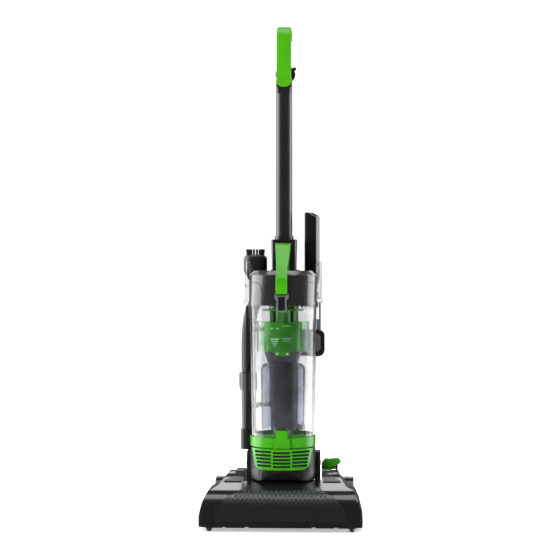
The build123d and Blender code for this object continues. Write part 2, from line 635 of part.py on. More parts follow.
def tool_bracket():
    """Shelf on the right of the spine with the socket of the crevice tool and a clear side plate."""
    shelf = block(SPINE_HALF, 82.4, 58, SPINE_BACK_Y, 478, 486) - rod_z(78, 470, 490, 0, CUP_Y)
    socket = rod_z(19, 462, 500, CREVICE_X - 5, TOOL_Y - 2)
    plate = block(79.6, 82.4, 58, SPINE_BACK_Y - 8, 478, 568) + block(71, 82.4, 58, 61, 478, 568)
    foot = block(80, 86, 58, 66, 474, 483)
    return shelf + socket + plate + foot - rod_z(16.8, 466, 501, CREVICE_X - 5, TOOL_Y - 2)


def crevice_plan(amount):
    """Section of the crevice tool: a flat oblong turned a little outwards."""
    section = Rectangle(CREVICE_LONG - 2 * amount, CREVICE_THICK - 2 * amount)
    return Rot(0, 0, CREVICE_TURN) * fillet(section.vertices(), 3)


def crevice_tool():
    """Crevice nozzle: round spigot, oblong body and a tip cut at an angle."""
    blend_z = 530
    outer = plan_prism(Pos(CREVICE_X, TOOL_Y) * crevice_plan(0), blend_z - 1, CREVICE_TOP_Z)
    inner = plan_prism(Pos(CREVICE_X, TOOL_Y) * crevice_plan(1.8), blend_z - 2, CREVICE_TOP_Z + 1)
    spigot = rod_z(16.2, CREVICE_LOW_Z, 506, CREVICE_X - 5, TOOL_Y - 2)
    bore = rod_z(14.4, CREVICE_LOW_Z - 1, 507, CREVICE_X - 5, TOOL_Y - 2)
    low = Pos(CREVICE_X - 5, TOOL_Y - 2, 505.5)
    high = Pos(CREVICE_X, TOOL_Y, blend_z)
    outer += loft([low * Circle(16.2), high * crevice_plan(0)])
    inner += loft([low * Circle(14.4), high * crevice_plan(1.8)])
    tip = Pos(CREVICE_X, TOOL_Y, CREVICE_TOP_Z) * Rot(0, 0, CREVICE_TURN)
    cut = tip * Pos(0, 0, 13) * Rot(0, 27, 0) * Box(90, 60, 26)
    return outer + spigot - inner - bore - cut


def dusting_brush():
    """Round dusting brush: a cup-shaped body with a neck, bristle holes left to the tufts."""
    body = rod_z(DUSTER_R, 547, DUSTER_TOP_Z - 8, DUSTER_X, TOOL_Y)
    body += cone_z(15, DUSTER_R, DUSTER_LOW_Z, 547, DUSTER_X, TOOL_Y)
    body += cone_z(DUSTER_R, DUSTER_R - 5, DUSTER_TOP_Z - 8, DUSTER_TOP_Z, DUSTER_X, TOOL_Y)
    body -= rod_z(12.4, DUSTER_LOW_Z - 1, 549, DUSTER_X, TOOL_Y)
    return body - rod_z(11, 548, DUSTER_TOP_Z + 1, DUSTER_X, TOOL_Y)


def brush_tufts():
    """Ring of bristle tufts in the dusting brush."""
    tufts = []
    for n in range(18):
        turn = radians(20 * n)
        x, y = DUSTER_X + 16 * cos(turn), TOOL_Y + 16 * sin(turn)
        tufts.append(rod_z(2.0, DUSTER_TOP_Z + 0.02, DUSTER_TOP_Z + TUFT_LONG, x, y))
    return Compound(children=tufts)


def lower_tube():
    """Rigid tube from the hose end down into the motor base."""
    tube = cone_z(13, HOSE_R, SOCKET_Z, CUFF_LOW_Z, HOSE_X, HOSE_Y)
    return tube - cone_z(10.5, HOSE_R - 2.5, SOCKET_Z - 1, CUFF_LOW_Z + 1, HOSE_X, HOSE_Y)


def hose_socket():
    """Elbow on the left of the motor base that the lower tube stands in."""
    low = YOKE_TOP_Z + 1
    return rod_z(15.5, low, SOCKET_Z + 12, HOSE_X, HOSE_Y) + block(
        HOSE_X, -TOWER_R + 9, HOSE_Y - 11, HOSE_Y + 11, low, TOWER_TOP_Z - 0.5)


def hose_cuff():
    """Grey cuff that joins the stretch hose to the rigid tube."""
    cuff = rod_z(17.5, CUFF_LOW_Z + 0.1, CUFF_TOP_Z, HOSE_X, HOSE_Y)
    cuff += block(HOSE_X - 18.5, HOSE_X - 12, HOSE_Y - 5, HOSE_Y + 5, CUFF_LOW_Z + 6, CUFF_TOP_Z)
    return cuff - rod_z(HOSE_R - 2.5, CUFF_LOW_Z - 1, CUFF_TOP_Z + 1, HOSE_X, HOSE_Y)


def hose_path():
    """Centre line of the hose: up from the cuff, bowed out to the left and back, into the elbow on the spine."""
    foot = CUFF_TOP_Z + 0.5
    return [(HOSE_X, HOSE_Y, foot), (HOSE_X - 0.6, HOSE_Y + 1, foot + 44), (HOSE_X - 0.2, HOSE_Y + 4, foot + 96),
            (HOSE_X + 7, HOSE_Y + 12, foot + 142), (HOSE_X + 21, HOSE_Y + 20, foot + 168)]


def hose():
    """Stretch hose, as a plain tube along straight runs joined by tangent arcs."""
    points = [Vector(*p) for p in hose_path()]
    radii = []
    for before, here, after in zip(points, points[1:], points[2:]):
        half_turn = radians((here - before).get_angle(after - here) / 2)
        radii.append(0.45 * min((here - before).length, (after - here).length) / tan(half_turn))
    line = FilletPolyline(*points, radius=radii)
    start = Plane(origin=line @ 0, z_dir=line % 0)
    return sweep(start * Circle(HOSE_R), path=line)


def hose_elbow():
    """Stub on the left of the spine that takes the top of the hose."""
    end, before = Vector(*hose_path()[-1]), Vector(*hose_path()[-2])
    way = (end - before).normalized()
    seat = Plane(origin=end + way * 6.1, z_dir=way)
    stub = seat * Cylinder(HOSE_R + 3, 12)
    mouth = block(end.X, -SPINE_HALF + 1, SPINE_FRONT_Y + 4, SPINE_BACK_Y - 1, end.Z + 1, end.Z + 15)
    room = Plane(origin=end - way * 19.9, z_dir=way) * Cylinder(HOSE_R + 6, 40)
    return stub + (mouth - room)


def left_rail():
    """Black rail on the left, between the hose and the cup, on two arms from the spine."""
    rail = block(-84, -79, 47, 54, 192, 470)
    for z in (250, 418):
        rail += block(-80, -59.5, 47, 54, z - 5, z + 5) - rod_z(77, 200, 500, 0, CUP_Y)
        rail += block(-64.5, -59.5, 50, 100, z - 5, z + 5) + block(-64.5, -SPINE_HALF, 92, 100, z - 5, z + 5)
    return rail


def lower_hook():
    """Cord hook on the right of the cup: a D-shaped loop on an arm from the spine."""
    loop = outline((60, 417), (89, 417), (89, 358), (60, 358), round_at={1: 14, 2: 14})
    hole = outline((59, 408), (81, 408), (81, 367), (59, 367), round_at={1: 10, 2: 10})
    bow = front_prism(loop - hole, 74, 92)
    return bow + block(60, 66, 74, SPINE_BACK_Y, 358, 417) + block(
        SPINE_HALF, 66, SPINE_BACK_Y - 8, SPINE_BACK_Y, 358, 417)


def side_rail():
    """Grey web inside the lower hook, and the grey guide above it that reaches the tool bracket."""
    web = outline((66, 408), (81, 408), (81, 367), (66, 367), round_at={1: 10, 2: 10})
    guide = block(71, 80.5, 76, 88, 417, 440) + block(76.5, 80.5, 77, 84, 439, 478)
    return Compound(children=[front_prism(web, 78, 86), guide])


def upper_hook():
    """Oval cord hook behind the handle, which turns half a turn to drop the cord."""
    back = front_prism(Pos(0, HOOK_Z) * Ellipse(22, 20.5), 131.5, 137)
    back += rod_y(3.5, 130, 135, 20.5, HOOK_Z + 12)
    back += rod_y(7, loop_back() + GAP, 132, 0, HOOK_Z)
    return back - rod_y(2.5 + RUNNING, 100, 140, 0, HOOK_Z)


def hook_pin():
    """Shouldered screw that the upper hook turns on."""
    return rod_y(2.5, loop_back() - 10, 138, 0, HOOK_Z) + rod_y(5, 137.4, 140, 0, HOOK_Z)


def pole():
    """Hollow pole from the collar up into the handle, with its trim ring."""
    tube = ring_z(POLE_R, POLE_R - 1.5, COLLAR_LOW_Z + 6, POLE_TOP_Z, 0, POLE_Y)
    ring = ring_z(POLE_R + 3, POLE_R - 0.5, COLLAR_TOP_Z, COLLAR_TOP_Z + 8, 0, POLE_Y)
    return tube + ring - rod_y(2.2, POLE_Y + 10, POLE_Y + 30, 0, 596)


def loop_outer(amount):
    """Side outline of the handle loop, moved inwards by amount."""
    y0, y1 = POLE_Y - POLE_R + 1, loop_back()
    face = outline((y0, POLE_TOP_Z), (y0, HEIGHT), (y1 - 6, HEIGHT), (y1, 1044), (y1, 970),
                   (POLE_Y + POLE_R - 1, POLE_TOP_Z), round_at={1: 36, 2: 34, 3: 30, 4: 22})
    return inset(face, amount)


def loop_hole():
    """Side outline of the finger opening in the handle loop."""
    return outline((POLE_Y + 7, 980), (POLE_Y + 7, 1063), (POLE_Y + 33, 1063), (POLE_Y + 36, 1038),
                   (POLE_Y + 36, 990), (POLE_Y + 24, 974), round_at={0: 8, 1: 13, 2: 13, 3: 12, 4: 10, 5: 10})


def grip_band(grow):
    """Side outline of the part of the loop that the grip covers."""
    limit = outline((0, GRIP_LOW_Z - grow), (0, 1200), (400, 1200), (400, 1061 - grow), (98, 1061 - grow),
                    (70, GRIP_LOW_Z - grow))
    return (loop_outer(0) - loop_outer(9 + grow)) & limit


def handle_core():
    """Black handle: plug in the pole, neck and the inside of the loop."""
    body = side_prism(loop_outer(0) - loop_hole(), -13, 13)
    body += rod_z(POLE_R, POLE_TOP_Z, 970, 0, POLE_Y) & side_prism(loop_outer(0), -20, 20)
    body -= side_prism(grip_band(0.02), -20, 20)
    body += ring_z(POLE_R - 1.5, POLE_R - 4.5, POLE_TOP_Z - 34, POLE_TOP_Z + 2, 0, POLE_Y)
    body -= rod_y(2.5, 100, 140, 0, HOOK_Z) + rod_x(1.5, -9, 9, 112, 1030)
    return body - switch_pocket()


def grip():
    """Green soft grip over the front and top of the loop."""
    front = outline((-GRIP_HALF, GRIP_LOW_Z), (GRIP_HALF, GRIP_LOW_Z), (GRIP_HALF, HEIGHT + 1),
                    (-GRIP_HALF, HEIGHT + 1), round_at={0: 13, 1: 13, 2: 9, 3: 9})
    body = side_prism(grip_band(0), -GRIP_HALF, GRIP_HALF) & front_prism(front, 0, 200)
    return body - (rod_z(POLE_R, POLE_TOP_Z, 970, 0, POLE_Y) - side_prism(grip_band(0.02), -20, 20))


def switch_pocket():
    """Pocket for the power rocker in the back of the handle."""
    return block(-7.3, 7.3, 106, 122, 1018, 1042)


def power_switch():
    """Rocker that turns the motor on and off."""
    face = outline((109, 1019), (109, 1041), (119.5, 1041), (117.5, 1030), (119.5, 1019))
    rocker = side_prism(face, -6.8, 6.8) & rod_x(12.5, -10, 10, 109, 1030)
    return rocker - rod_x(1.5 + RUNNING, -20, 20, 112, 1030)


def switch_pin():
    """Pin of the power rocker."""
    return rod_x(1.5, -9, 9, 112, 1030)


def cord_gland():
    """Strain relief stub on the right of the spine, where a mains cord would leave."""
    body = rod_x(6, SPINE_HALF, SPINE_HALF + 16, 92, 200) + rod_x(8, SPINE_HALF, SPINE_HALF + 3, 92, 200)
    return body - rod_x(3.6, SPINE_HALF + 1, SPINE_HALF + 20, 92, 200)


# ---- Dust cup ----
def cup_shell():
    """Clear tapered cup with a seat for the lid and a latch keeper at the bottom front."""
    z0, z1 = DOOR_TOP_Z + 0.3, CUP_TOP_Z
    wall = cone_z(CUP_LOW_R, CUP_TOP_R, z0, z1, 0, CUP_Y)
    hollow = cone_z(CUP_LOW_R - WALL, CUP_TOP_R - WALL, z0 - 0.1, z1 + 0.1, 0, CUP_Y)
    keeper = block(-14, 14, CUP_Y - CUP_LOW_R - 5, CUP_Y - CUP_LOW_R + 2, z0 + 8, z0 + 11)
    for x in (-1, 1):
        keeper += block(x * 16 - 1.5, x * 16 + 1.5, CUP_Y - CUP_LOW_R - 6, CUP_Y - CUP_LOW_R + 4, z0, z0 + 18)
    lugs = block(-10, -6, CUP_Y + 60, CUP_Y + 70.5, z0, z0 + 8) + block(6, 10, CUP_Y + 60, CUP_Y + 70.5, z0, z0 + 8)
    return (wall + keeper + lugs) - hollow


def base_door():
    """Green bottom door of the cup with its rim, a raised middle and the ears and pin of its latch."""
    rim = rod_z(DOOR_R, DOOR_LOW_Z, DOOR_TOP_Z, 0, CUP_Y) - cone_z(
        CUP_LOW_R + 0.4, CUP_LOW_R + 0.8, DOOR_LOW_Z + 4, DOOR_TOP_Z + 1, 0, CUP_Y)
    rim = chamfer(rim.faces().sort_by(Axis.Z)[0].edges(), 2)
    rim -= block(-18, 18, CUP_Y - DOOR_R - 1, CUP_Y - DOOR_R + 5.6, DOOR_LOW_Z - 1, DOOR_TOP_Z + 1)
    seat = ring_z(CUP_LOW_R - WALL - 0.5, CUP_LOW_R - WALL - 3, DOOR_LOW_Z + 3, DOOR_TOP_Z + 6, 0, CUP_Y)
    dome = cone_z(36, 18, DOOR_LOW_Z + 3.9, DOOR_TOP_Z + 10, 0, CUP_Y)
    hollow = cone_z(34, 16, DOOR_LOW_Z - 0.1, DOOR_TOP_Z + 7, 0, CUP_Y)
    y = CUP_Y - CUP_LOW_R
    for x in (-19.5, 19.5):
        rim += block(x - 1.5, x + 1.5, y - 6, y + 2, DOOR_LOW_Z + 3, DOOR_LOW_Z + 12)
    return rim + seat + dome - hollow + rod_x(1.5, -18.5, 18.5, y - 3, DOOR_LOW_Z + 7)


def door_latch():
    """Green press tab at the front that holds the bottom door shut."""
    y = CUP_Y - CUP_LOW_R
    tab = block(-13, 13, y - 8.5, y - 5.5, DOOR_LOW_Z + 2, DOOR_TOP_Z + 16)
    tab += block(-17.5, 17.5, y - 8.5, y - 1, DOOR_LOW_Z + 1, DOOR_TOP_Z - 1)
    tab += block(-12, 12, y - 8.5, y - 0.6, DOOR_TOP_Z + 11.8, DOOR_TOP_Z + 16)
    return tab - rod_x(1.5 + RUNNING, -30, 30, y - 3, DOOR_LOW_Z + 7)


def lid():
    """Grey lid that closes the cup, with a chamfered crown, a rim and a seat for the release button."""
    rim = rod_z(LID_R + 0.9, CUP_TOP_Z - 6, CUP_TOP_Z + 4, 0, CUP_Y)
    hollow = rod_z(LID_R - WALL, CUP_TOP_Z - 7, LID_TOP_Z - LID_CHAMFER - WALL, 0, CUP_Y)
    mouth = rod_z(CUP_TOP_R + 0.25, CUP_TOP_Z - 7, CUP_TOP_Z, 0, CUP_Y)
    shell = lid_form() + rim - hollow - mouth
    return shell - block(-11.2, 11.2, -90, CUP_Y - LID_R + WALL + 0.5, CUP_TOP_Z - 7, 494)


def latch_frame():
    """Silver frame that guides the release button on the front of the lid."""
    y = CUP_Y - LID_R
    frame = block(-11, 11, y - 7, y + 0.9, 459, 493.8)
    frame -= block(-8.2, 8.2, y - 8, y + 2, 461.5, 491.5)
    for x in (-1, 1):
        frame += front_prism(outline((x * 10.9, 493.8), (x * 15, 497), (x * 15, 488), (x * 10.9, 484)), y - 6, y - 2.6)
    return frame - cone_z(CUP_LOW_R + 0.3, CUP_TOP_R + 0.3, DOOR_TOP_Z, CUP_TOP_Z + 0.3, 0, CUP_Y) - rod_z(
        LID_R + 1.25, CUP_TOP_Z - 8, CUP_TOP_Z + 4.1, 0, CUP_Y)


def latch_button():
    """Black release button that slides inwards between the lid and the collar hook."""
    y = CUP_Y - LID_R
    button = block(-7.8, 7.8, y - 9.5, y - 3.4, 462, 491)
    return fillet(button.edges().filter_by(Axis.Z), 2)


def strap_side():
    """Side outline of the carry handle: a bow from the lid's front edge up and over to its middle."""
    front = CUP_Y - LID_R
    return outline((front + 6, 494.4), (front - 13, 497), (front - 13, 525), (-8, 607), (26, 607), (33, 600),
                   (33, LID_TOP_Z - 1), (8, LID_TOP_Z - 1), (8, LID_TOP_Z + 32), (-2, LID_TOP_Z + 44),
                   (front + 6, 532), round_at={1: 3, 2: 22, 3: 20, 4: 5, 8: 5, 9: 5})


def carry_handle():
    """Green bow by which the cup is lifted out, wider at the top."""
    front = outline((-12.2, 490), (12.2, 490), (12.2, 560), (14.5, 585), (17, 610), (-17, 610), (-14.5, 585),
                    (-12.2, 560), round_at={2: 30, 7: 30})
    return (side_prism(strap_side(), -17, 17) & front_prism(front, -120, 60)) - lid_form()


def cyclone_plate():
    """Green plate that carries the cyclone under the lid, with the core and posts above the shroud."""
    plate = rod_z(44, PLATE_Z - 2, PLATE_Z + 2, 0, CUP_Y)
    plate += ring_z(30, 27, PLATE_Z + 1, LID_TOP_Z - LID_CHAMFER - WALL, 0, CUP_Y)
    plate += ring_z(16, 13, SHROUD_TOP_Z, PLATE_Z, 0, CUP_Y)
    for n in range(6):
        turn = radians(60 * n + 30)
        plate += rod_z(3.2, SHROUD_TOP_Z, PLATE_Z, 29 * cos(turn), CUP_Y + 29 * sin(turn))
    return plate - rod_z(13, PLATE_Z - 5, PLATE_Z + 5, 0, CUP_Y)


def cyclone_shroud():
    """Green shroud of the cyclone, open underneath."""
    shell = rod_z(SHROUD_R, SHROUD_LOW_Z, SHROUD_TOP_Z, 0, CUP_Y) - rod_z(
        SHROUD_R - 2, SHROUD_LOW_Z - 1, SHROUD_TOP_Z - 2, 0, CUP_Y)
    return shell - rod_z(13, SHROUD_TOP_Z - 3, SHROUD_TOP_Z + 1, 0, CUP_Y)


def inner_column():
    """Dark skirt under the shroud and the dust column that goes down to the bottom door."""
    low, high = DOOR_TOP_Z + 12, SHROUD_LOW_Z - 28
    tube = Polygon((COLUMN_R, low), (COLUMN_R + 2.5, high), (COLUMN_R, high), (COLUMN_R - 2, low), align=None)
    skirt = Polygon((COLUMN_R + 2.5, high), (SHROUD_R - 9, high + 2), (SHROUD_R + 1, SHROUD_LOW_Z),
                    (SHROUD_R - 1.5, SHROUD_LOW_Z), (SHROUD_R - 11, high + 4), (COLUMN_R, high + 2),
                    (COLUMN_R, high), align=None)
    return Compound([Pos(0, CUP_Y, 0) * revolve(Plane.XZ * half, Axis.Z) for half in (tube, skirt)])


def screw_ways():
    """Bores for the four screws that hold the yokes to the tower."""
    return rod_x(1.8, -200, 200, 34, 126) + rod_x(1.8, -200, 200, 62, 126)


def grille_seat():
    """Recess for the exhaust grille in the front of the tower, and the wall behind it."""
    front = front_prism(grille_outline(GAP), -100, CUP_Y)
    recess = front & ring_z(TOWER_R + 5, TOWER_R - 7, 100, TOWER_TOP_Z + 1, 0, CUP_Y)
    behind = front_prism(grille_outline(GAP + 2), -100, CUP_Y - 5)
    wall = behind & ring_z(TOWER_R - 7, TOWER_R - 9, TOWER_LOW_Z + 5, TOWER_TOP_Z - 1, 0, CUP_Y)
    rim = (behind - front) & ring_z(TOWER_R - 0.5, TOWER_R - 8, TOWER_LOW_Z + 5, TOWER_TOP_Z - 1, 0, CUP_Y)
    for x in (-24, 0, 24):
        wall -= block(x - 7, x + 7, -80, -40, 132, 156)
    return recess, wall + rim


def hose_socket_way():
    """Air way inside the elbow, with the wider mouth for the tube."""
    low = YOKE_TOP_Z + 3.5
    way = rod_z(10.5, low, SOCKET_Z + 1, HOSE_X, HOSE_Y) + cone_z(
        13.3, 14.7, SOCKET_Z, CUFF_LOW_Z, HOSE_X, HOSE_Y)
    return way + block(HOSE_X, -TOWER_R + 12, HOSE_Y - 8, HOSE_Y + 8, low, TOWER_TOP_Z - 3.5)


def upright_screws():
    """Screws of the yokes and the collar, the pin of the upper hook and the pin of the power rocker."""
    solids = [collar_screw(), hook_pin(), switch_pin()]
    for y in (34, 62):
        body = rod_x(1.8, YOKE_IN_X - 12, YOKE_OUT_X, y, 126) + rod_x(3.6, YOKE_OUT_X, YOKE_OUT_X + 1.5, y, 126)
        solids += [body, mirror_x(body)]
    return Compound(children=solids)


def duster_bracket():
    """Shelf on the left of the spine with the peg of the dusting brush and a clear front plate."""
    shelf = block(-86, -SPINE_HALF, 54, 100, 513, 518) - rod_z(78, 500, 530, 0, CUP_Y)
    plate = block(-86, -76, 54, 57, 478, 568) + block(-86, -83.4, 54, 62, 478, 568)
    foot = block(-89, -84, 54, 60, 474, 483)
    peg = rod_z(12, 517, 548, DUSTER_X, TOOL_Y) + rod_z(15, 517, 521, DUSTER_X, TOOL_Y)
    return shelf + plate + foot + (peg - rod_z(9.5, 519, 546, DUSTER_X, TOOL_Y))


def loop_back():
    """How far back the handle loop reaches."""
    return POLE_Y - POLE_R + 1 + LOOP_DEEP + 12


def lid_form():
    """Outside of the lid: a chamfered disc."""
    outer = rod_z(LID_R, CUP_TOP_Z, LID_TOP_Z, 0, CUP_Y)
    return chamfer(outer.faces().sort_by(Axis.Z)[-1].edges(), LID_CHAMFER)


# ---- Build ----
def everything():
    """Every piece by name."""
    hood_form, hood_hollow = head_form(0), head_form(WALL)
    arch_room = crown_region(GAP)
    shoulder_right = shoulder_form(0)
    cover = shoulder(shoulder_right)
    wheel = rear_wheel()
    roller = front_roller()
    return {
        "nozzle_hood": nozzle_hood(hood_form, hood_hollow, arch_room),
        "crown_cover": crown_cover(),
        "end_caps": both_sides(end_cap(hood_form, hood_hollow)),
        "shoulders": Compound(children=[cover - pedal_room(), mirror_x(cover)]),
        "foot_pads": both_sides(foot_pad(shoulder_right)),
        "arms": Compound(children=[arm(1), mirror_x(arm(-1))]),
        "soleplate": soleplate(),
        "sole_screws": sole_screws(),
        "brush_roll": brush_roll(),
        "brush_bristles": brush_bristles(),
        "brush_spindle": brush_spindle(),
        "drive_belt": drive_belt(),
        "belt_guard": belt_guard(),
        "suction_duct": suction_duct(),
        "pivot_pins": both_sides(pivot_pin()),
        "wheel_axles": both_sides(wheel_axle()),
        "rear_wheel_right": wheel,
        "rear_wheel_left": mirror_x(wheel),
        "front_roller_right": roller,
        "front_roller_left": mirror_x(roller),
        "roller_axles": both_sides(roller_axle()),
        "pedal_post": pedal_post(),
        "recline_pedal": recline_pedal(),
        "motor_base": motor_base(),
        "yokes": both_sides(yoke()),
        "motor_case": motor_case(),
        "motor_field": motor_field(),
        "motor_rotor": motor_rotor(),
        "fan_impeller": fan_impeller(),
        "exhaust_grille": exhaust_grille(),
        "exhaust_filter": exhaust_filter(),
        "spine": spine(),
        "collar": collar(),
        "upright_screws": upright_screws(),
        "tool_bracket": tool_bracket(),
        "duster_bracket": duster_bracket(),
        "left_rail": left_rail(),
        "lower_hook": lower_hook(),
        "side_rail": side_rail(),
        "upper_hook": upper_hook(),
        "pole": pole(),
        "handle_core": handle_core(),
        "grip": grip(),
        "power_switch": power_switch(),
        "cord_gland": cord_gland(),
        "cup_shell": cup_shell(),
        "base_door": base_door(),
        "door_latch": door_latch(),
        "lid": lid(),
        "latch_frame": latch_frame(),
        "latch_button": latch_button(),
        "carry_handle": carry_handle(),
        "cyclone_shroud": cyclone_shroud(),
        "cyclone_plate": cyclone_plate(),
        "inner_column": inner_column(),
        "crevice_tool": crevice_tool(),
        "dusting_brush": Compound(children=[dusting_brush(), brush_tufts()]),
        "hose_tube": lower_tube(),
        "hose_cuff": hose_cuff(),
        "hose": hose(),
    }


if __name__ == "__main__":
    os.makedirs("parts", exist_ok=True)
    for name, shape in everything().items():
        export_step(shape, f"parts/{name}.step")
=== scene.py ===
from math import ceil, cos, pi, radians, sin, sqrt

import bmesh
import bpy
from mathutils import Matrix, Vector
from mathutils.bvhtree import BVHTree


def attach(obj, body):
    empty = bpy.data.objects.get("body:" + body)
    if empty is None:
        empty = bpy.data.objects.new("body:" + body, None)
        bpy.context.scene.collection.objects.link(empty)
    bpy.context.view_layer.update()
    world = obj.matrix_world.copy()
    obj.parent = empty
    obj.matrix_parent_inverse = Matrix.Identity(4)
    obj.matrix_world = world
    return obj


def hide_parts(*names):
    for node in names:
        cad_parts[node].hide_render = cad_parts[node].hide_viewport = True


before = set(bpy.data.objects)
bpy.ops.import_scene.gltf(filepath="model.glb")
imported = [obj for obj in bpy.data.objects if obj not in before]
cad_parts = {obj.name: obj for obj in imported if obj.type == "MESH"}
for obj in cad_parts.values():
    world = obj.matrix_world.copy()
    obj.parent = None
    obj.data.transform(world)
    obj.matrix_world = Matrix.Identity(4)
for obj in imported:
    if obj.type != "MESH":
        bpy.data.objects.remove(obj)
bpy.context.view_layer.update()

# Stand and light
# The machine stands on a plain pale floor that runs up into a white backdrop, seen square on from the front
# at half its height, with a large soft lamp on each side and one overhead. The floor also glows by itself,
# as painted light, more the further it lies from the machine.
shown = bpy.context.scene
shown.view_settings.view_transform = "Standard"
aim_side = radians(2.6)
stand_off = 3.41
eye = bpy.data.cameras.new("eye")
eye.lens = 105.1
eye.sensor_width = 36
eye_seat = bpy.data.objects.new("eye", eye)
eye_seat.location = (sin(aim_side) * stand_off, -0.14 - cos(aim_side) * stand_off, 0.527)
eye_seat.rotation_euler = (radians(90), 0, aim_side)
shown.collection.objects.link(eye_seat)
shown.camera = eye_seat

white_room = bpy.data.worlds.new("white_room")
white_room.use_nodes = True
room_nodes, room_links = white_room.node_tree.nodes, white_room.node_tree.links
room_nodes["Background"].inputs["Color"].default_value = (1.0, 1.0, 1.0, 1)
room_ray = room_nodes.new("ShaderNodeLightPath")
room_dim = room_nodes.new("ShaderNodeMath")
room_dim.operation = "MAXIMUM"
room_links.new(room_ray.outputs["Diffuse Depth"], room_dim.inputs[0])
room_links.new(room_ray.outputs["Glossy Depth"], room_dim.inputs[1])
room_glow = room_nodes.new("ShaderNodeMapRange")
room_glow.inputs["To Min"].default_value = 1.05
room_glow.inputs["To Max"].default_value = 0.12
room_links.new(room_dim.outputs["Value"], room_glow.inputs["Value"])
room_links.new(room_glow.outputs["Result"], room_nodes["Background"].inputs["Strength"])
shown.world = white_room


def soft_lamp(name, place, aim, wide, high, power):
    lamp = bpy.data.lights.new(name, "AREA")
    lamp.shape = "RECTANGLE"
    lamp.size = wide
    lamp.size_y = high
    lamp.energy = power
    seat = bpy.data.objects.new(name, lamp)
    seat.location = place
    seat.rotation_euler = (Vector(aim) - Vector(place)).to_track_quat("-Z", "Y").to_euler()
    shown.collection.objects.link(seat)
    return seat


soft_lamp("left_lamp", (-1.8, 0.45, 0.95), (0, 0, 0.55), 2.0, 2.2, 60)
soft_lamp("right_lamp", (1.8, 0.75, 0.95), (0, 0, 0.55), 1.4, 2.2, 42)
soft_lamp("top_lamp", (0, 0.2, 2.8), (0, 0, 0.3), 2.4, 1.2, 30)
soft_lamp("back_lamp", (0, 2.6, 1.55), (0, 0, 0.1), 2.6, 1.0, 15).visible_camera = False
soft_lamp("front_lamp", (-1.4, -3.4, 1.9), (0, 0, 0.4), 1.4, 1.4, 110).visible_glossy = False

floor_paint = bpy.data.materials.new("floor_paint")
floor_paint.use_nodes = True
floor_paint.node_tree.nodes["Principled BSDF"].inputs["Base Color"].default_value = (0.93, 0.93, 0.93, 1)
floor_paint.node_tree.nodes["Principled BSDF"].inputs["Roughness"].default_value = 0.7
floor_paint.node_tree.nodes["Principled BSDF"].inputs["Emission Color"].default_value = (1, 1, 1, 1)
floor_nodes, floor_links = floor_paint.node_tree.nodes, floor_paint.node_tree.links
floor_place = floor_nodes.new("ShaderNodeTexCoord")
floor_reach = floor_nodes.new("ShaderNodeVectorMath")
floor_reach.operation = "LENGTH"
floor_links.new(floor_place.outputs["Object"], floor_reach.inputs[0])
# Painted light: the floor glows by itself, weakest under the machine and full white far off.
floor_glow = floor_nodes.new("ShaderNodeMapRange")
floor_glow.interpolation_type = "SMOOTHSTEP"
floor_glow.inputs["From Min"].default_value = 0.3
floor_glow.inputs["From Max"].default_value = 2.4
floor_glow.inputs["To Min"].default_value = 0.45
floor_glow.inputs["To Max"].default_value = 1.0
floor_links.new(floor_reach.outputs["Value"], floor_glow.inputs["Value"])
floor_links.new(floor_glow.outputs["Result"], floor_nodes["Principled BSDF"].inputs["Emission Strength"])
floor_mesh = bpy.data.meshes.new("floor")
floor_mesh.from_pydata([(-6, -5, 0), (6, -5, 0), (6, 6, 0), (-6, 6, 0)], [], [(0, 1, 2, 3)])
floor_mesh.materials.append(floor_paint)
floor = bpy.data.objects.new("floor", floor_mesh)
floor.visible_glossy = False
shown.collection.objects.link(floor)

# Floor head: hood
# A glossy black ABS cover, moulded in one, over the brush chamber. Its edges are eased by the mould.
def moulded_plastic(name, colour, rough, grain=0.00005, grain_scale=1400.0, metal=0.0, coat=0.0,
                    coat_rough=0.06, shine=0.5):
    """Moulded plastic: a fine mould grain, slow changes of gloss and a slight change of tone."""
    plastic = bpy.data.materials.new(name)
    plastic.use_nodes = True
    nodes, links = plastic.node_tree.nodes, plastic.node_tree.links
    surface = nodes["Principled BSDF"]
    surface.inputs["Metallic"].default_value = metal
    surface.inputs["Coat Weight"].default_value = coat
    surface.inputs["Coat Roughness"].default_value = coat_rough
    surface.inputs["Specular IOR Level"].default_value = shine
    place = nodes.new("ShaderNodeTexCoord")
    grain_noise = nodes.new("ShaderNodeTexNoise")
    grain_noise.inputs["Scale"].default_value = grain_scale
    grain_noise.inputs["Detail"].default_value = 3
    links.new(place.outputs["Object"], grain_noise.inputs["Vector"])
    relief = nodes.new("ShaderNodeBump")
    relief.inputs["Strength"].default_value = 0.35
    relief.inputs["Distance"].default_value = grain
    links.new(grain_noise.outputs["Fac"], relief.inputs["Height"])
    links.new(relief.outputs["Normal"], surface.inputs["Normal"])
    slow = nodes.new("ShaderNodeTexNoise")
    slow.inputs["Scale"].default_value = 22
    slow.inputs["Detail"].default_value = 4
    links.new(place.outputs["Object"], slow.inputs["Vector"])
    gloss = nodes.new("ShaderNodeMapRange")
    gloss.inputs["To Min"].default_value = max(rough - 0.05, 0.02)
    gloss.inputs["To Max"].default_value = rough + 0.06
    links.new(slow.outputs["Fac"], gloss.inputs["Value"])
    links.new(gloss.outputs["Result"], surface.inputs["Roughness"])
    tone = nodes.new("ShaderNodeValToRGB")
    tone.color_ramp.elements[0].position = 0.3
    tone.color_ramp.elements[0].color = (*[c * 0.88 for c in colour], 1)
    tone.color_ramp.elements[1].position = 0.7
    tone.color_ramp.elements[1].color = (*[min(c * 1.08, 1) for c in colour], 1)
    links.new(slow.outputs["Fac"], tone.inputs["Fac"])
    links.new(tone.outputs["Color"], surface.inputs["Base Color"])
    return plastic


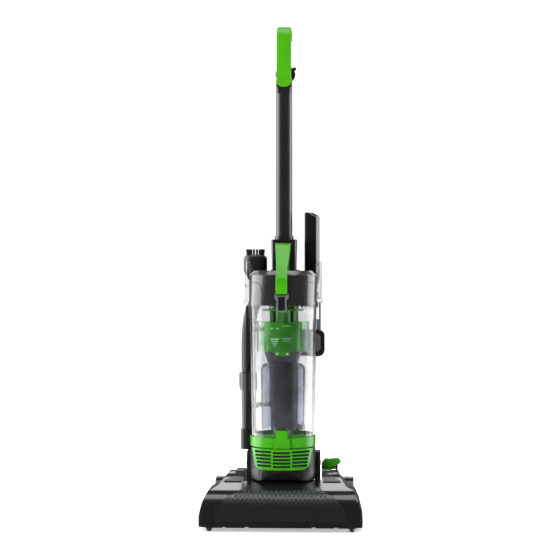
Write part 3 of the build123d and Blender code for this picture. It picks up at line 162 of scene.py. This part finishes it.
def eased(node, body, ease, finish, steps=2, sharp=32):
    """A piece from its solid, with the edges rounded by ease as they come from the mould."""
    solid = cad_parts[node]
    shape = solid.data.copy()
    work = bmesh.new()
    work.from_mesh(shape)
    bmesh.ops.remove_doubles(work, verts=work.verts, dist=0.00002)
    bmesh.ops.dissolve_limit(work, angle_limit=radians(0.6), verts=work.verts, edges=work.edges)
    work.to_mesh(shape)
    work.free()
    shape.materials.clear()
    shape.materials.append(finish)
    for face in shape.polygons:
        face.use_smooth = True
        face.material_index = 0
    shape.set_sharp_from_angle(angle=radians(sharp))
    piece = bpy.data.objects.new(node + "_finished", shape)
    shown.collection.objects.link(piece)
    rounding = piece.modifiers.new("eased_edges", "BEVEL")
    rounding.width = ease
    rounding.segments = steps
    rounding.limit_method = "ANGLE"
    rounding.angle_limit = radians(sharp)
    rounding.harden_normals = True
    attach(piece, body)
    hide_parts(node)
    return piece


black_gloss = moulded_plastic("black_gloss", (0.006, 0.0063, 0.007), 0.16, grain=0.00002, coat=0.3,
                              coat_rough=0.1)
eased("nozzle_hood", "nozzle", 0.0012, black_gloss)

# Floor head: crown
# The middle of the hood is a separate dark cover between two arched seams. Interlocked rows of small raised
# diamonds are moulded on its upper front, and grow smaller towards the plain lower front.
crown_finish = moulded_plastic("crown_finish", (0.010, 0.010, 0.012), 0.24, grain=0.00002, coat=0.2,
                               coat_rough=0.12)
diamond_finish = moulded_plastic("diamond_finish", (0.022, 0.0225, 0.024), 0.36, grain=0.00002)
eased("crown_cover", "nozzle", 0.0008, crown_finish)
crown_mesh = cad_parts["crown_cover"].data
crown_tree = BVHTree.FromPolygons([vertex.co for vertex in crown_mesh.vertices],
                                  [face.vertices for face in crown_mesh.polygons])
diamond_pitch, diamond_step, diamond_low = 0.0094, 0.0038, 0.0575


def crown_face(x, z):
    """Point and normal of the cover's outside straight behind (x, z), or nothing off its edge."""
    point, normal, _, _ = crown_tree.ray_cast(Vector((x, -0.4, z)), Vector((0, 1, 0)))
    return (point, normal) if point is not None and normal.y < -0.12 and point.y < -0.07 else None


diamond_seats, diamond_ways, diamond_sizes = [], [], []
for row in range(7):
    z = diamond_low + row * diamond_step
    grow = min(0.45 + 0.14 * row, 1)
    for n in range(-14, 15):
        x = (n + 0.5 * (row % 2)) * diamond_pitch
        edges = [crown_face(x + across * 0.46 * diamond_pitch * grow, z + up * diamond_step * grow)
                 for across, up in ((-1, 0), (1, 0), (0, -1), (0, 1))]
        seat = crown_face(x, z)
        if seat is None or None in edges:
            continue
        diamond_seats.append(tuple(seat[0] - seat[1] * 0.0002))
        diamond_ways.append(tuple(seat[1]))
        climb = (edges[3][0] - edges[2][0]).length / 2
        diamond_sizes.append((0.46 * diamond_pitch * grow, climb * 0.9, 0.0007 * grow))


def diamond_group():
    """Sets a low four-sided point on every seat, turned to the cover's face and sized for its row."""
    tree = bpy.data.node_groups.new("crown_diamonds", "GeometryNodeTree")
    tree.interface.new_socket("Seats", in_out="INPUT", socket_type="NodeSocketGeometry")
    tree.interface.new_socket("Flat Top", in_out="INPUT", socket_type="NodeSocketFloat").default_value = 0.18
    tree.interface.new_socket("Diamonds", in_out="OUTPUT", socket_type="NodeSocketGeometry")
    add, link = tree.nodes.new, tree.links.new
    given, made = add("NodeGroupInput"), add("NodeGroupOutput")
    point = add("GeometryNodeMeshCone")
    point.inputs["Vertices"].default_value = 4
    point.inputs["Radius Bottom"].default_value = 1
    point.inputs["Depth"].default_value = 1
    link(given.outputs["Flat Top"], point.inputs["Radius Top"])
    stand = add("GeometryNodeInstanceOnPoints")
    for name, socket in (("heading", "Rotation"), ("size", "Scale")):
        told = add("GeometryNodeInputNamedAttribute")
        told.data_type = "FLOAT_VECTOR"
        told.inputs["Name"].default_value = name
        if socket == "Rotation":
            turn = add("FunctionNodeAlignRotationToVector")
            link(told.outputs["Attribute"], turn.inputs["Vector"])
            link(turn.outputs["Rotation"], stand.inputs["Rotation"])
        else:
            link(told.outputs["Attribute"], stand.inputs["Scale"])
    link(given.outputs["Seats"], stand.inputs["Points"])
    link(point.outputs["Mesh"], stand.inputs["Instance"])
    real, dress = add("GeometryNodeRealizeInstances"), add("GeometryNodeSetMaterial")
    dress.inputs["Material"].default_value = diamond_finish
    link(stand.outputs["Instances"], real.inputs["Geometry"])
    link(real.outputs["Geometry"], dress.inputs["Geometry"])
    link(dress.outputs["Geometry"], made.inputs["Diamonds"])
    return tree


seat_mesh = bpy.data.meshes.new("diamond_seats")
seat_mesh.from_pydata(diamond_seats, [], [])
for name, values in (("heading", diamond_ways), ("size", diamond_sizes)):
    held = seat_mesh.attributes.new(name, "FLOAT_VECTOR", "POINT")
    held.data.foreach_set("vector", [c for v in values for c in v])
seat_draft = bpy.data.objects.new("diamond_seats", seat_mesh)
shown.collection.objects.link(seat_draft)
seat_draft.modifiers.new("diamonds", "NODES").node_group = diamond_group()
grown_draft = seat_draft.evaluated_get(bpy.context.evaluated_depsgraph_get())
diamond_mesh = bpy.data.meshes.new_from_object(grown_draft)
bpy.data.objects.remove(seat_draft)
diamond_mesh.materials.clear()
diamond_mesh.materials.append(diamond_finish)
crown_diamonds = bpy.data.objects.new("crown_diamonds", diamond_mesh)
shown.collection.objects.link(crown_diamonds)
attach(crown_diamonds, "nozzle")

# Floor head: end caps, shoulders and pads
# Glossy black cheeks close both ends of the head. Graphite covers lie over the two arms, each with a
# dark ribbed pad beside the pivot.
silver_grey = moulded_plastic("silver_grey", (0.2, 0.205, 0.21), 0.24, metal=0.35)
graphite = moulded_plastic("graphite", (0.013, 0.0135, 0.015), 0.3, metal=0.2, coat=0.8, coat_rough=0.16)
black_satin = moulded_plastic("black_satin", (0.010, 0.010, 0.011), 0.36)
eased("end_caps", "nozzle", 0.001, black_gloss)
eased("shoulders", "nozzle", 0.002, graphite)
eased("foot_pads", "nozzle", 0.0004, black_satin)

# Floor head: inside, underneath and wheels
# Plain black parts carry the brush, the belt and the wheels. The shafts and screws are bright steel.
def carry(finish, *nodes):
    for node in nodes:
        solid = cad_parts[node]
        if not solid.material_slots:
            solid.data.materials.append(finish)
        for seat in solid.material_slots:
            seat.material = finish


brushed_steel = moulded_plastic("brushed_steel", (0.5, 0.5, 0.52), 0.3, grain=0.00003, metal=1.0)
roll_plastic = moulded_plastic("roll_plastic", (0.03, 0.03, 0.033), 0.4)
belt_rubber = moulded_plastic("belt_rubber", (0.015, 0.015, 0.015), 0.7, grain=0.0002)
eased("soleplate", "nozzle", 0.0008, black_satin)
eased("arms", "nozzle", 0.0008, black_satin)
eased("pedal_post", "nozzle", 0.0008, black_satin)
carry(black_satin, "belt_guard", "suction_duct", "roller_axles")
carry(brushed_steel, "brush_spindle", "sole_screws", "pivot_pins", "wheel_axles", "upright_screws",
      "motor_rotor", "motor_case")
carry(belt_rubber, "drive_belt")
eased("brush_roll", "brush", 0.0005, roll_plastic)
for side in ("left", "right"):
    eased("rear_wheel_" + side, "wheel_" + side, 0.0008, black_gloss)
    eased("front_roller_" + side, "roller_" + side, 0.0006, roll_plastic)

# Brush roll: bristles
# Stiff nylon tufts stand in four rows that wind round the roll, each tuft a bundle stapled in its hole.
bristle_nylon = moulded_plastic("bristle_nylon", (0.02, 0.02, 0.02), 0.5)
roll_y, roll_z, roll_core, tuft_long, roll_half = -0.096, 0.027, 0.015, 0.0105, 0.138
belt_x = 0.056


def tuft_tree(name, hair_long, hair_thick, finish):
    """Stands a thin tapered hair on every point, turned to that point's own direction."""
    tree = bpy.data.node_groups.new(name, "GeometryNodeTree")
    tree.interface.new_socket("Points", in_out="INPUT", socket_type="NodeSocketGeometry")
    for label, value in (("Hair Length", hair_long), ("Hair Width", hair_thick)):
        socket = tree.interface.new_socket(label, in_out="INPUT", socket_type="NodeSocketFloat")
        socket.default_value = value
    tree.interface.new_socket("Hairs", in_out="OUTPUT", socket_type="NodeSocketGeometry")
    add, link = tree.nodes.new, tree.links.new
    given, made = add("NodeGroupInput"), add("NodeGroupOutput")
    hair = add("GeometryNodeMeshCone")
    hair.inputs["Vertices"].default_value = 5
    link(given.outputs["Hair Width"], hair.inputs["Radius Bottom"])
    half = add("ShaderNodeMath")
    half.operation = "MULTIPLY"
    half.inputs[1].default_value = 0.45
    link(given.outputs["Hair Width"], half.inputs[0])
    link(half.outputs[0], hair.inputs["Radius Top"])
    link(given.outputs["Hair Length"], hair.inputs["Depth"])
    heading = add("GeometryNodeInputNamedAttribute")
    heading.data_type = "FLOAT_VECTOR"
    heading.inputs["Name"].default_value = "heading"
    turn = add("FunctionNodeAlignRotationToVector")
    link(heading.outputs["Attribute"], turn.inputs["Vector"])
    spread = add("FunctionNodeRandomValue")
    spread.data_type = "FLOAT"
    spread.inputs[2].default_value = 0.9
    spread.inputs[3].default_value = 1.06
    spread.inputs["Seed"].default_value = 7
    stand = add("GeometryNodeInstanceOnPoints")
    link(given.outputs["Points"], stand.inputs["Points"])
    link(hair.outputs["Mesh"], stand.inputs["Instance"])
    link(turn.outputs["Rotation"], stand.inputs["Rotation"])
    link(spread.outputs[1], stand.inputs["Scale"])
    real, dress = add("GeometryNodeRealizeInstances"), add("GeometryNodeSetMaterial")
    dress.inputs["Material"].default_value = finish
    link(stand.outputs["Instances"], real.inputs["Geometry"])
    link(real.outputs["Geometry"], dress.inputs["Geometry"])
    link(dress.outputs["Geometry"], made.inputs["Hairs"])
    return tree


def hairs(name, roots, tree, finish):
    """A plain mesh of hairs from (root, direction) pairs."""
    seed_mesh = bpy.data.meshes.new(name + "_roots")
    seed_mesh.from_pydata([root for root, way in roots], [], [])
    lean = seed_mesh.attributes.new("heading", "FLOAT_VECTOR", "POINT")
    lean.data.foreach_set("vector", [c for root, way in roots for c in way])
    seed = bpy.data.objects.new(name + "_roots", seed_mesh)
    shown.collection.objects.link(seed)
    seed.modifiers.new("hairs", "NODES").node_group = tree
    grown = bpy.data.meshes.new_from_object(seed.evaluated_get(bpy.context.evaluated_depsgraph_get()))
    bpy.data.objects.remove(seed)
    grown.materials.clear()
    grown.materials.append(finish)
    piece = bpy.data.objects.new(name, grown)
    shown.collection.objects.link(piece)
    return piece


roll_roots = []
for row in range(4):
    for hole in range(45):
        x = -roll_half + 0.020 + hole * (2 * roll_half - 0.040) / 44
        if abs(x - belt_x) < 0.011:
            continue
        for hair in range(7):
            turn = radians(row * 90 + abs(x) / roll_half * 80) + 0.09 * cos(hair * 0.9)
            shift = 0.0012 * sin(hair * 0.9)
            way = Vector((0.25 * sin(hair * 2.1) * 0.4, -sin(turn), cos(turn))).normalized()
            root = Vector((x + shift, roll_y, roll_z)) + Vector((0, way.y, way.z)) * (roll_core - 0.0005)
            roll_roots.append((tuple(root), tuple(way)))
roll_bristles = hairs("roll_bristles", roll_roots, tuft_tree("roll_tufts", tuft_long, 0.0005, bristle_nylon),
                      bristle_nylon)
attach(roll_bristles, "brush")
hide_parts("brush_bristles")

# Recline pedal
# A bright green lever over the right wheel that frees the upright.
lime = moulded_plastic("lime", (0.043, 0.315, 0.0015), 0.25, coat=0.12, shine=0.35)
eased("recline_pedal", "pedal", 0.0018, lime, steps=3)
pedal_edge = [(0.0825, 0.1080), (0.0825, 0.1210), (0.0900, 0.1303), (0.0990, 0.1293), (0.1190, 0.1312),
              (0.1252, 0.1250), (0.1210, 0.1190), (0.1100, 0.1155), (0.1020, 0.1085)]
front_work = bmesh.new()


def raised(edge, start_y, thick):
    """Adds a flat plate with the given outline, standing back from start_y."""
    face = front_work.faces.new([front_work.verts.new((x, start_y, z)) for x, z in edge])
    grown = bmesh.ops.extrude_face_region(front_work, geom=[face])["geom"]
    bmesh.ops.translate(front_work, vec=(0, thick, 0),
                        verts=[v for v in grown if isinstance(v, bmesh.types.BMVert)])


blade_low = [(0.0900, 0.1303), (0.0990, 0.1293), (0.1190, 0.1312), (0.1252, 0.1250), (0.1215, 0.1197),
             (0.0825, 0.1197), (0.0825, 0.1210)]
raised(pedal_edge, 0.0750, 0.0025)
raised(blade_low, 0.0774, 0.0020)
bmesh.ops.recalc_face_normals(front_work, faces=front_work.faces)
pedal_mesh = bpy.data.meshes.new("pedal_front")
front_work.to_mesh(pedal_mesh)
front_work.free()
pedal_mesh.materials.append(lime)
pedal_front = bpy.data.objects.new("pedal_front", pedal_mesh)
shown.collection.objects.link(pedal_front)
pedal_ease = pedal_front.modifiers.new("ease", "BEVEL")
pedal_ease.width = 0.0007
pedal_ease.segments = 2
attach(pedal_front, "pedal")

# Upright: motor base, yokes, exhaust grille
# The black base holds the motor and hangs between two yokes. A lime grille clips into its bowl-shaped
# front, over a felt filter.
felt = moulded_plastic("felt", (0.02, 0.022, 0.02), 0.9, grain=0.0006, grain_scale=500)
winding = moulded_plastic("winding", (0.5, 0.2, 0.08), 0.35, metal=1.0)
eased("motor_base", "upright", 0.0015, black_satin)
eased("yokes", "upright", 0.002, black_satin)
eased("exhaust_grille", "grille", 0.0007, lime)
carry(felt, "exhaust_filter")
carry(winding, "motor_field")
carry(roll_plastic, "fan_impeller")

# Upright: spine, collar, pole and handle
# A black hollow post rises behind the cup into a collar. The collar grips the gloss-painted pole, and the
# pole carries a loop handle whose front and top are covered with soft lime rubber.
soft_lime = moulded_plastic("soft_lime", (0.055, 0.33, 0.0015), 0.34, shine=0.35)
eased("spine", "upright", 0.0015, black_satin)
eased("collar", "upright", 0.002, black_gloss)
tube_black = moulded_plastic("tube_black", (0.007, 0.0073, 0.008), 0.34, grain=0.00001, shine=0.8)
eased("pole", "upright", 0.0004, tube_black)
eased("handle_core", "upright", 0.003, black_satin, steps=3)
eased("grip", "upright", 0.004, soft_lime, steps=4)
eased("power_switch", "rocker", 0.0008, black_satin)
eased("cord_gland", "upright", 0.0008, black_satin)

# Upright: cord hooks, black strip and grey guide
# Two hooks on the back and the side take the wound cord. A thin black strip stands on the left and a grey
# guide on the right, beside the cup.
rail_grey = moulded_plastic("rail_grey", (0.2, 0.2, 0.205), 0.35)
eased("upper_hook", "turning_hook", 0.0012, black_satin)
eased("lower_hook", "upright", 0.0015, black_satin)
eased("left_rail", "upright", 0.001, black_satin)
eased("side_rail", "upright", 0.0012, rail_grey)

# Dust cup: clear cup, bottom door and its latch
# The cup is clear polycarbonate with a smoky tint, a little wider at its top. Its lime bottom door is held by
# a lime tab at the front, between two clear loops.
def clear_plastic(name, colour, rough):
    """See-through plastic with a few slow waves in its gloss."""
    clear = moulded_plastic(name, colour, rough, grain=0.00001, grain_scale=60)
    clear.node_tree.nodes["Principled BSDF"].inputs["Transmission Weight"].default_value = 1.0
    clear.node_tree.nodes["Principled BSDF"].inputs["IOR"].default_value = 1.3
    return clear


smoke_clear = clear_plastic("smoke_clear", (0.79, 0.80, 0.81), 0.03)
eased("cup_shell", "cup", 0.0006, smoke_clear)
eased("base_door", "cup", 0.0012, lime)
eased("door_latch", "cup_door_latch", 0.001, lime)
cup_y = 0.005


def bent_bar(name, points, thick, finish, body, smooth=True):
    """A thin round bar bent through the points."""
    line = bpy.data.curves.new(name + "_line", "CURVE")
    line.dimensions = "3D"
    line.bevel_depth = thick / 2
    line.bevel_resolution = 3
    line.use_fill_caps = True
    run = line.splines.new("NURBS" if smooth else "POLY")
    run.points.add(len(points) - 1)
    for number, point in enumerate(points):
        run.points[number].co = (*point, 1)
    if smooth:
        run.order_u = 3
        run.use_endpoint_u = True
    draft = bpy.data.objects.new(name + "_line", line)
    shown.collection.objects.link(draft)
    solid = bpy.data.meshes.new_from_object(draft.evaluated_get(bpy.context.evaluated_depsgraph_get()))
    bpy.data.objects.remove(draft)
    solid.materials.clear()
    solid.materials.append(finish)
    piece = bpy.data.objects.new(name, solid)
    shown.collection.objects.link(piece)
    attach(piece, body)
    return piece


latch_front = cup_y - 0.068
for side in (-1, 1):
    loop = [(side * 0.0155, latch_front - 0.0072, 0.1935), (side * 0.0165, latch_front - 0.0078, 0.203),
            (side * 0.0145, latch_front - 0.0085, 0.211), (side * 0.0115, latch_front - 0.0085, 0.2135)]
    bent_bar("latch_loop_" + ("left" if side < 0 else "right"), loop, 0.0022, smoke_clear, "cup")

# Dust cup: cyclone
# Under the lid hangs the lime cyclone: a plate, a shroud with a printed sign and a pale mint clear sleeve
# round it.
# The sleeve is painted reflection, for the pale green that the cup wall shows beside the shroud, and the two
# white dots on the shroud's tab are painted highlights. The dark skirt and the dust column stand below.
smoke_black = moulded_plastic("smoke_black", (0.004, 0.0042, 0.005), 0.3)
smoke_tint = clear_plastic("smoke_tint", (0.55, 0.57, 0.62), 0.08)
reflection_mint_clear = clear_plastic("reflection_mint_clear", (0.7, 0.95, 0.72), 0.12)
print_and_highlight_white = moulded_plastic("print_and_highlight_white", (0.85, 0.9, 0.85), 0.5)
eased("cyclone_shroud", "cup", 0.0015, lime)
eased("cyclone_plate", "cup", 0.0006, lime)
eased("inner_column", "cup", 0.0008, smoke_black)


def lathe(name, rims, centre, finish, body, sides=96, sharp=35):
    """A turned piece from (radius, height) rims, closed at both ends of its line."""
    work = bmesh.new()
    rings = []
    for radius, height in rims:
        rings.append([work.verts.new((centre[0] + radius * cos(2 * pi * n / sides),
                                      centre[1] + radius * sin(2 * pi * n / sides), height))
                      for n in range(sides)])
    for low, high in zip(rings, rings[1:] + rings[:1]):
        for n in range(sides):
            work.faces.new((low[n], low[(n + 1) % sides], high[(n + 1) % sides], high[n]))
    bmesh.ops.recalc_face_normals(work, faces=work.faces)
    turned = bpy.data.meshes.new(name)
    work.to_mesh(turned)
    work.free()
    turned.materials.append(finish)
    for face in turned.polygons:
        face.use_smooth = True
    turned.set_sharp_from_angle(angle=radians(sharp))
    piece = bpy.data.objects.new(name, turned)
    shown.collection.objects.link(piece)
    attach(piece, body)
    return piece


# Painted reflection: a pale mint clear sleeve, for the pale green that the cup wall shows beside the shroud.
lathe("shroud_reflection_sleeve", [(0.0555, 0.372), (0.0570, 0.372), (0.0570, 0.437), (0.0555, 0.437)], (0, cup_y),
      reflection_mint_clear, "cup")


def laid_on_wall(name, left, right, low, high, radius, finish, lift=0.0002):
    """A bar laid on a round wall, from its left and right ends and its low and high edges; it lays print, the
    lime tab and painted highlights.
    """
    across = 10
    corners, quads = [], []
    for n in range(across + 1):
        turn = (left + (right - left) * n / across) / radius
        for r in (radius + lift, radius + lift * 0.2):
            for z in (low, high):
                corners.append((r * sin(turn), cup_y - r * cos(turn), z))
    for n in range(across):
        a, b = 4 * n, 4 * n + 4
        quads += [(a, b, b + 1, a + 1), (a + 2, a + 3, b + 3, b + 2), (a, a + 2, b + 2, b),
                  (a + 1, b + 1, b + 3, a + 3)]
    end = 4 * across
    quads += [(0, 1, 3, 2), (end, end + 2, end + 3, end + 1)]
    sign = bpy.data.meshes.new(name)
    sign.from_pydata(corners, [], quads)
    work = bmesh.new()
    work.from_mesh(sign)
    bmesh.ops.recalc_face_normals(work, faces=work.faces)
    work.to_mesh(sign)
    work.free()
    sign.materials.append(finish)
    piece = bpy.data.objects.new(name, sign)
    shown.collection.objects.link(piece)
    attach(piece, "cup")
    return piece


lathe("dust_sleeve", [(0.0452, 0.2035), (0.0462, 0.2035), (0.0482, 0.331), (0.0470, 0.3385), (0.0405, 0.3450),
                      (0.0398, 0.3442), (0.0462, 0.3378), (0.0472, 0.331)], (0, cup_y), smoke_tint, "cup")
funnel_bars = [(-0.0275, -0.0065, 0.3985, 0.4010), (-0.0250, -0.0090, 0.3935, 0.3960),
               (-0.0225, -0.0115, 0.3885, 0.3910), (-0.0200, -0.0140, 0.3838, 0.3860)]
for number, bar in enumerate(funnel_bars):
    laid_on_wall(f"sign_funnel_{number}", *bar, 0.041, print_and_highlight_white)
for number, bar in enumerate([(0.000, 0.021, 0.4000, 0.4016), (0.000, 0.017, 0.3952, 0.3966),
                              (-0.0270, -0.0190, 0.4220, 0.4238), (-0.0130, -0.0070, 0.4205, 0.4238),
                              (0.000, 0.019, 0.4272, 0.4284)]):
    laid_on_wall(f"sign_line_{number}", *bar, 0.041, print_and_highlight_white)
laid_on_wall("shroud_tab", -0.0165, 0.0165, 0.3640, 0.3728, 0.0425, lime, lift=0.0006)
# Two white dots on the tab, in the print's white: painted highlights.
for side in (-1, 1):
    laid_on_wall("tab_highlight_" + ("left" if side < 0 else "right"), side * 0.011 - 0.0016, side * 0.011 + 0.0016,
            0.3665, 0.3700, 0.0431, print_and_highlight_white)
arch = [(-0.0165, 0.215), (-0.0165, 0.300), (-0.0150, 0.325), (0, 0.334), (0.0150, 0.325), (0.0165, 0.300),
        (0.0165, 0.215)]
arch_radius = 0.0289
arch_way = [(x, cup_y - sqrt(arch_radius ** 2 - x * x), z) for x, z in arch]
bent_bar("column_arch", arch_way, 0.0011, smoke_black, "cup")

# Dust cup: lid, carry handle and release
# A metallic graphite lid closes the cup. Its lime carry handle bows up and back over it, and the black
# release button slides in a silver frame at its foot.
eased("lid", "cup", 0.0016, graphite)
eased("carry_handle", "cup", 0.0022, lime, steps=3)
eased("latch_frame", "cup", 0.0008, silver_grey)
eased("latch_button", "release", 0.001, black_gloss)
lid_radius = 0.0735
for side in (-1, 1):
    seam = []
    for turn_deg, z in ((62, 0.5215), (50, 0.5215), (42, 0.520), (37.5, 0.513), (36.5, 0.500),
                        (36.5, 0.4965)):
        turn = radians(turn_deg) * side
        seam.append((lid_radius * sin(turn), cup_y - lid_radius * cos(turn), z))
    bent_bar("lid_seam_" + ("left" if side < 0 else "right"), seam, 0.0016, black_satin, "cup")

# Tools on the machine
# The crevice tool stands in a socket on the right, and the dusting brush on a peg on the left. Clear plates
# shield both holders.
eased("tool_bracket", "upright", 0.0006, smoke_clear)
eased("duster_bracket", "upright", 0.0006, smoke_clear)
eased("crevice_tool", "crevice", 0.0008, black_gloss)
duster_x, duster_y = -0.065, 0.088
duster_rims = [(0.0124, 0.527), (0.0155, 0.527), (0.0165, 0.5285), (0.0255, 0.546), (0.026, 0.549),
               (0.026, 0.574), (0.0252, 0.577), (0.0212, 0.5825), (0.0200, 0.583), (0.0120, 0.583),
               (0.0110, 0.582), (0.0110, 0.5485), (0.0124, 0.5485)]
duster = lathe("duster_body", duster_rims, (duster_x, duster_y), black_satin, "duster")
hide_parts("dusting_brush")
tuft_root_z, hole_r, hole_hairs = 0.5815, 0.0010, 12
duster_roots = []
for ring, (radius, count) in enumerate(((0.0135, 14), (0.0160, 16), (0.0185, 18))):
    for hole in range(count):
        turn = 2 * pi * (hole + 0.5 * ring) / count
        for hair in range(hole_hairs):
            swing = hair * 2.4
            x = duster_x + radius * cos(turn) + hole_r * cos(swing) * sqrt(hair / hole_hairs)
            y = duster_y + radius * sin(turn) + hole_r * sin(swing) * sqrt(hair / hole_hairs)
            way = Vector((0.10 * cos(turn) + 0.04 * cos(swing),
                          0.10 * sin(turn) + 0.04 * sin(swing), 1)).normalized()
            duster_roots.append(((x, y, tuft_root_z), tuple(way)))
duster_tufts = hairs("duster_tufts", duster_roots, tuft_tree("duster_hair", 0.0135, 0.00045, bristle_nylon),
                     bristle_nylon)
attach(duster_tufts, "duster")

# Hose and its rigid tube
# A stretch hose, ribbed round, comes down from the elbow on the spine into a grey cuff. A smooth rigid tube
# goes on from the cuff into the elbow of the base.
hose_grey = moulded_plastic("hose_grey", (0.045, 0.045, 0.048), 0.38)
tube_grey = moulded_plastic("tube_grey", (0.06, 0.06, 0.063), 0.3)
eased("hose_tube", "upright", 0.0006, tube_grey)
eased("hose_cuff", "upright", 0.0015, tube_grey)
hose_route = [(-0.081, 0.072, 0.3225), (-0.0816, 0.073, 0.3665), (-0.0812, 0.076, 0.4185),
              (-0.074, 0.084, 0.4645), (-0.060, 0.092, 0.4905)]
hose_width, rib_pitch, rib_deep, rings_per_rib = 0.028, 0.0042, 0.0013, 6
route_line = bpy.data.curves.new("hose_route", "CURVE")
route_line.dimensions = "3D"
route_line.resolution_u = 40
route_run = route_line.splines.new("NURBS")
route_run.points.add(len(hose_route) - 1)
for number, point in enumerate(hose_route):
    route_run.points[number].co = (*point, 1)
route_run.order_u = 3
route_run.use_endpoint_u = True
route_seat = bpy.data.objects.new("hose_route", route_line)
shown.collection.objects.link(route_seat)
route_mesh = bpy.data.meshes.new_from_object(route_seat.evaluated_get(bpy.context.evaluated_depsgraph_get()))
bpy.data.objects.remove(route_seat)
way_points = [vertex.co.copy() for vertex in route_mesh.vertices]
distances = [0.0]
for here, there in zip(way_points, way_points[1:]):
    distances.append(distances[-1] + (there - here).length)
hose_long = distances[-1]


def along_hose(distance):
    """Point and heading on the hose's line at a distance from its foot."""
    for number in range(len(distances) - 1):
        if distances[number + 1] >= distance or number == len(distances) - 2:
            part = (distance - distances[number]) / max(distances[number + 1] - distances[number], 1e-9)
            here, there = way_points[number], way_points[number + 1]
            return here.lerp(there, min(max(part, 0), 1)), (there - here).normalized()


ring_count = int(ceil(hose_long / rib_pitch)) * rings_per_rib
hose_sides = 40
hose_turns = [2 * pi * n / hose_sides for n in range(hose_sides)]
hose_work = bmesh.new()
hose_rings = []
for number in range(ring_count + 1):
    distance = hose_long * number / ring_count
    centre, heading = along_hose(distance)
    out = Vector((0, 1, 0)).cross(heading).normalized()
    up = heading.cross(out).normalized()
    wave = 0.5 - 0.5 * cos(2 * pi * distance / rib_pitch)
    radius = hose_width / 2 - rib_deep * (1 - wave) ** 1.5
    hose_rings.append([hose_work.verts.new(centre + radius * (out * cos(turn) + up * sin(turn)))
                       for turn in hose_turns])
for low, high in zip(hose_rings, hose_rings[1:]):
    for n in range(hose_sides):
        following = (n + 1) % hose_sides
        hose_work.faces.new((low[n], low[following], high[following], high[n]))
hose_work.faces.new(hose_rings[0][::-1])
hose_work.faces.new(hose_rings[-1])
bmesh.ops.recalc_face_normals(hose_work, faces=hose_work.faces)
hose_mesh = bpy.data.meshes.new("stretch_hose")
hose_work.to_mesh(hose_mesh)
hose_work.free()
hose_mesh.materials.append(hose_grey)
for face in hose_mesh.polygons:
    face.use_smooth = True
stretch_hose = bpy.data.objects.new("stretch_hose", hose_mesh)
shown.collection.objects.link(stretch_hose)
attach(stretch_hose, "upright")
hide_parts("hose")
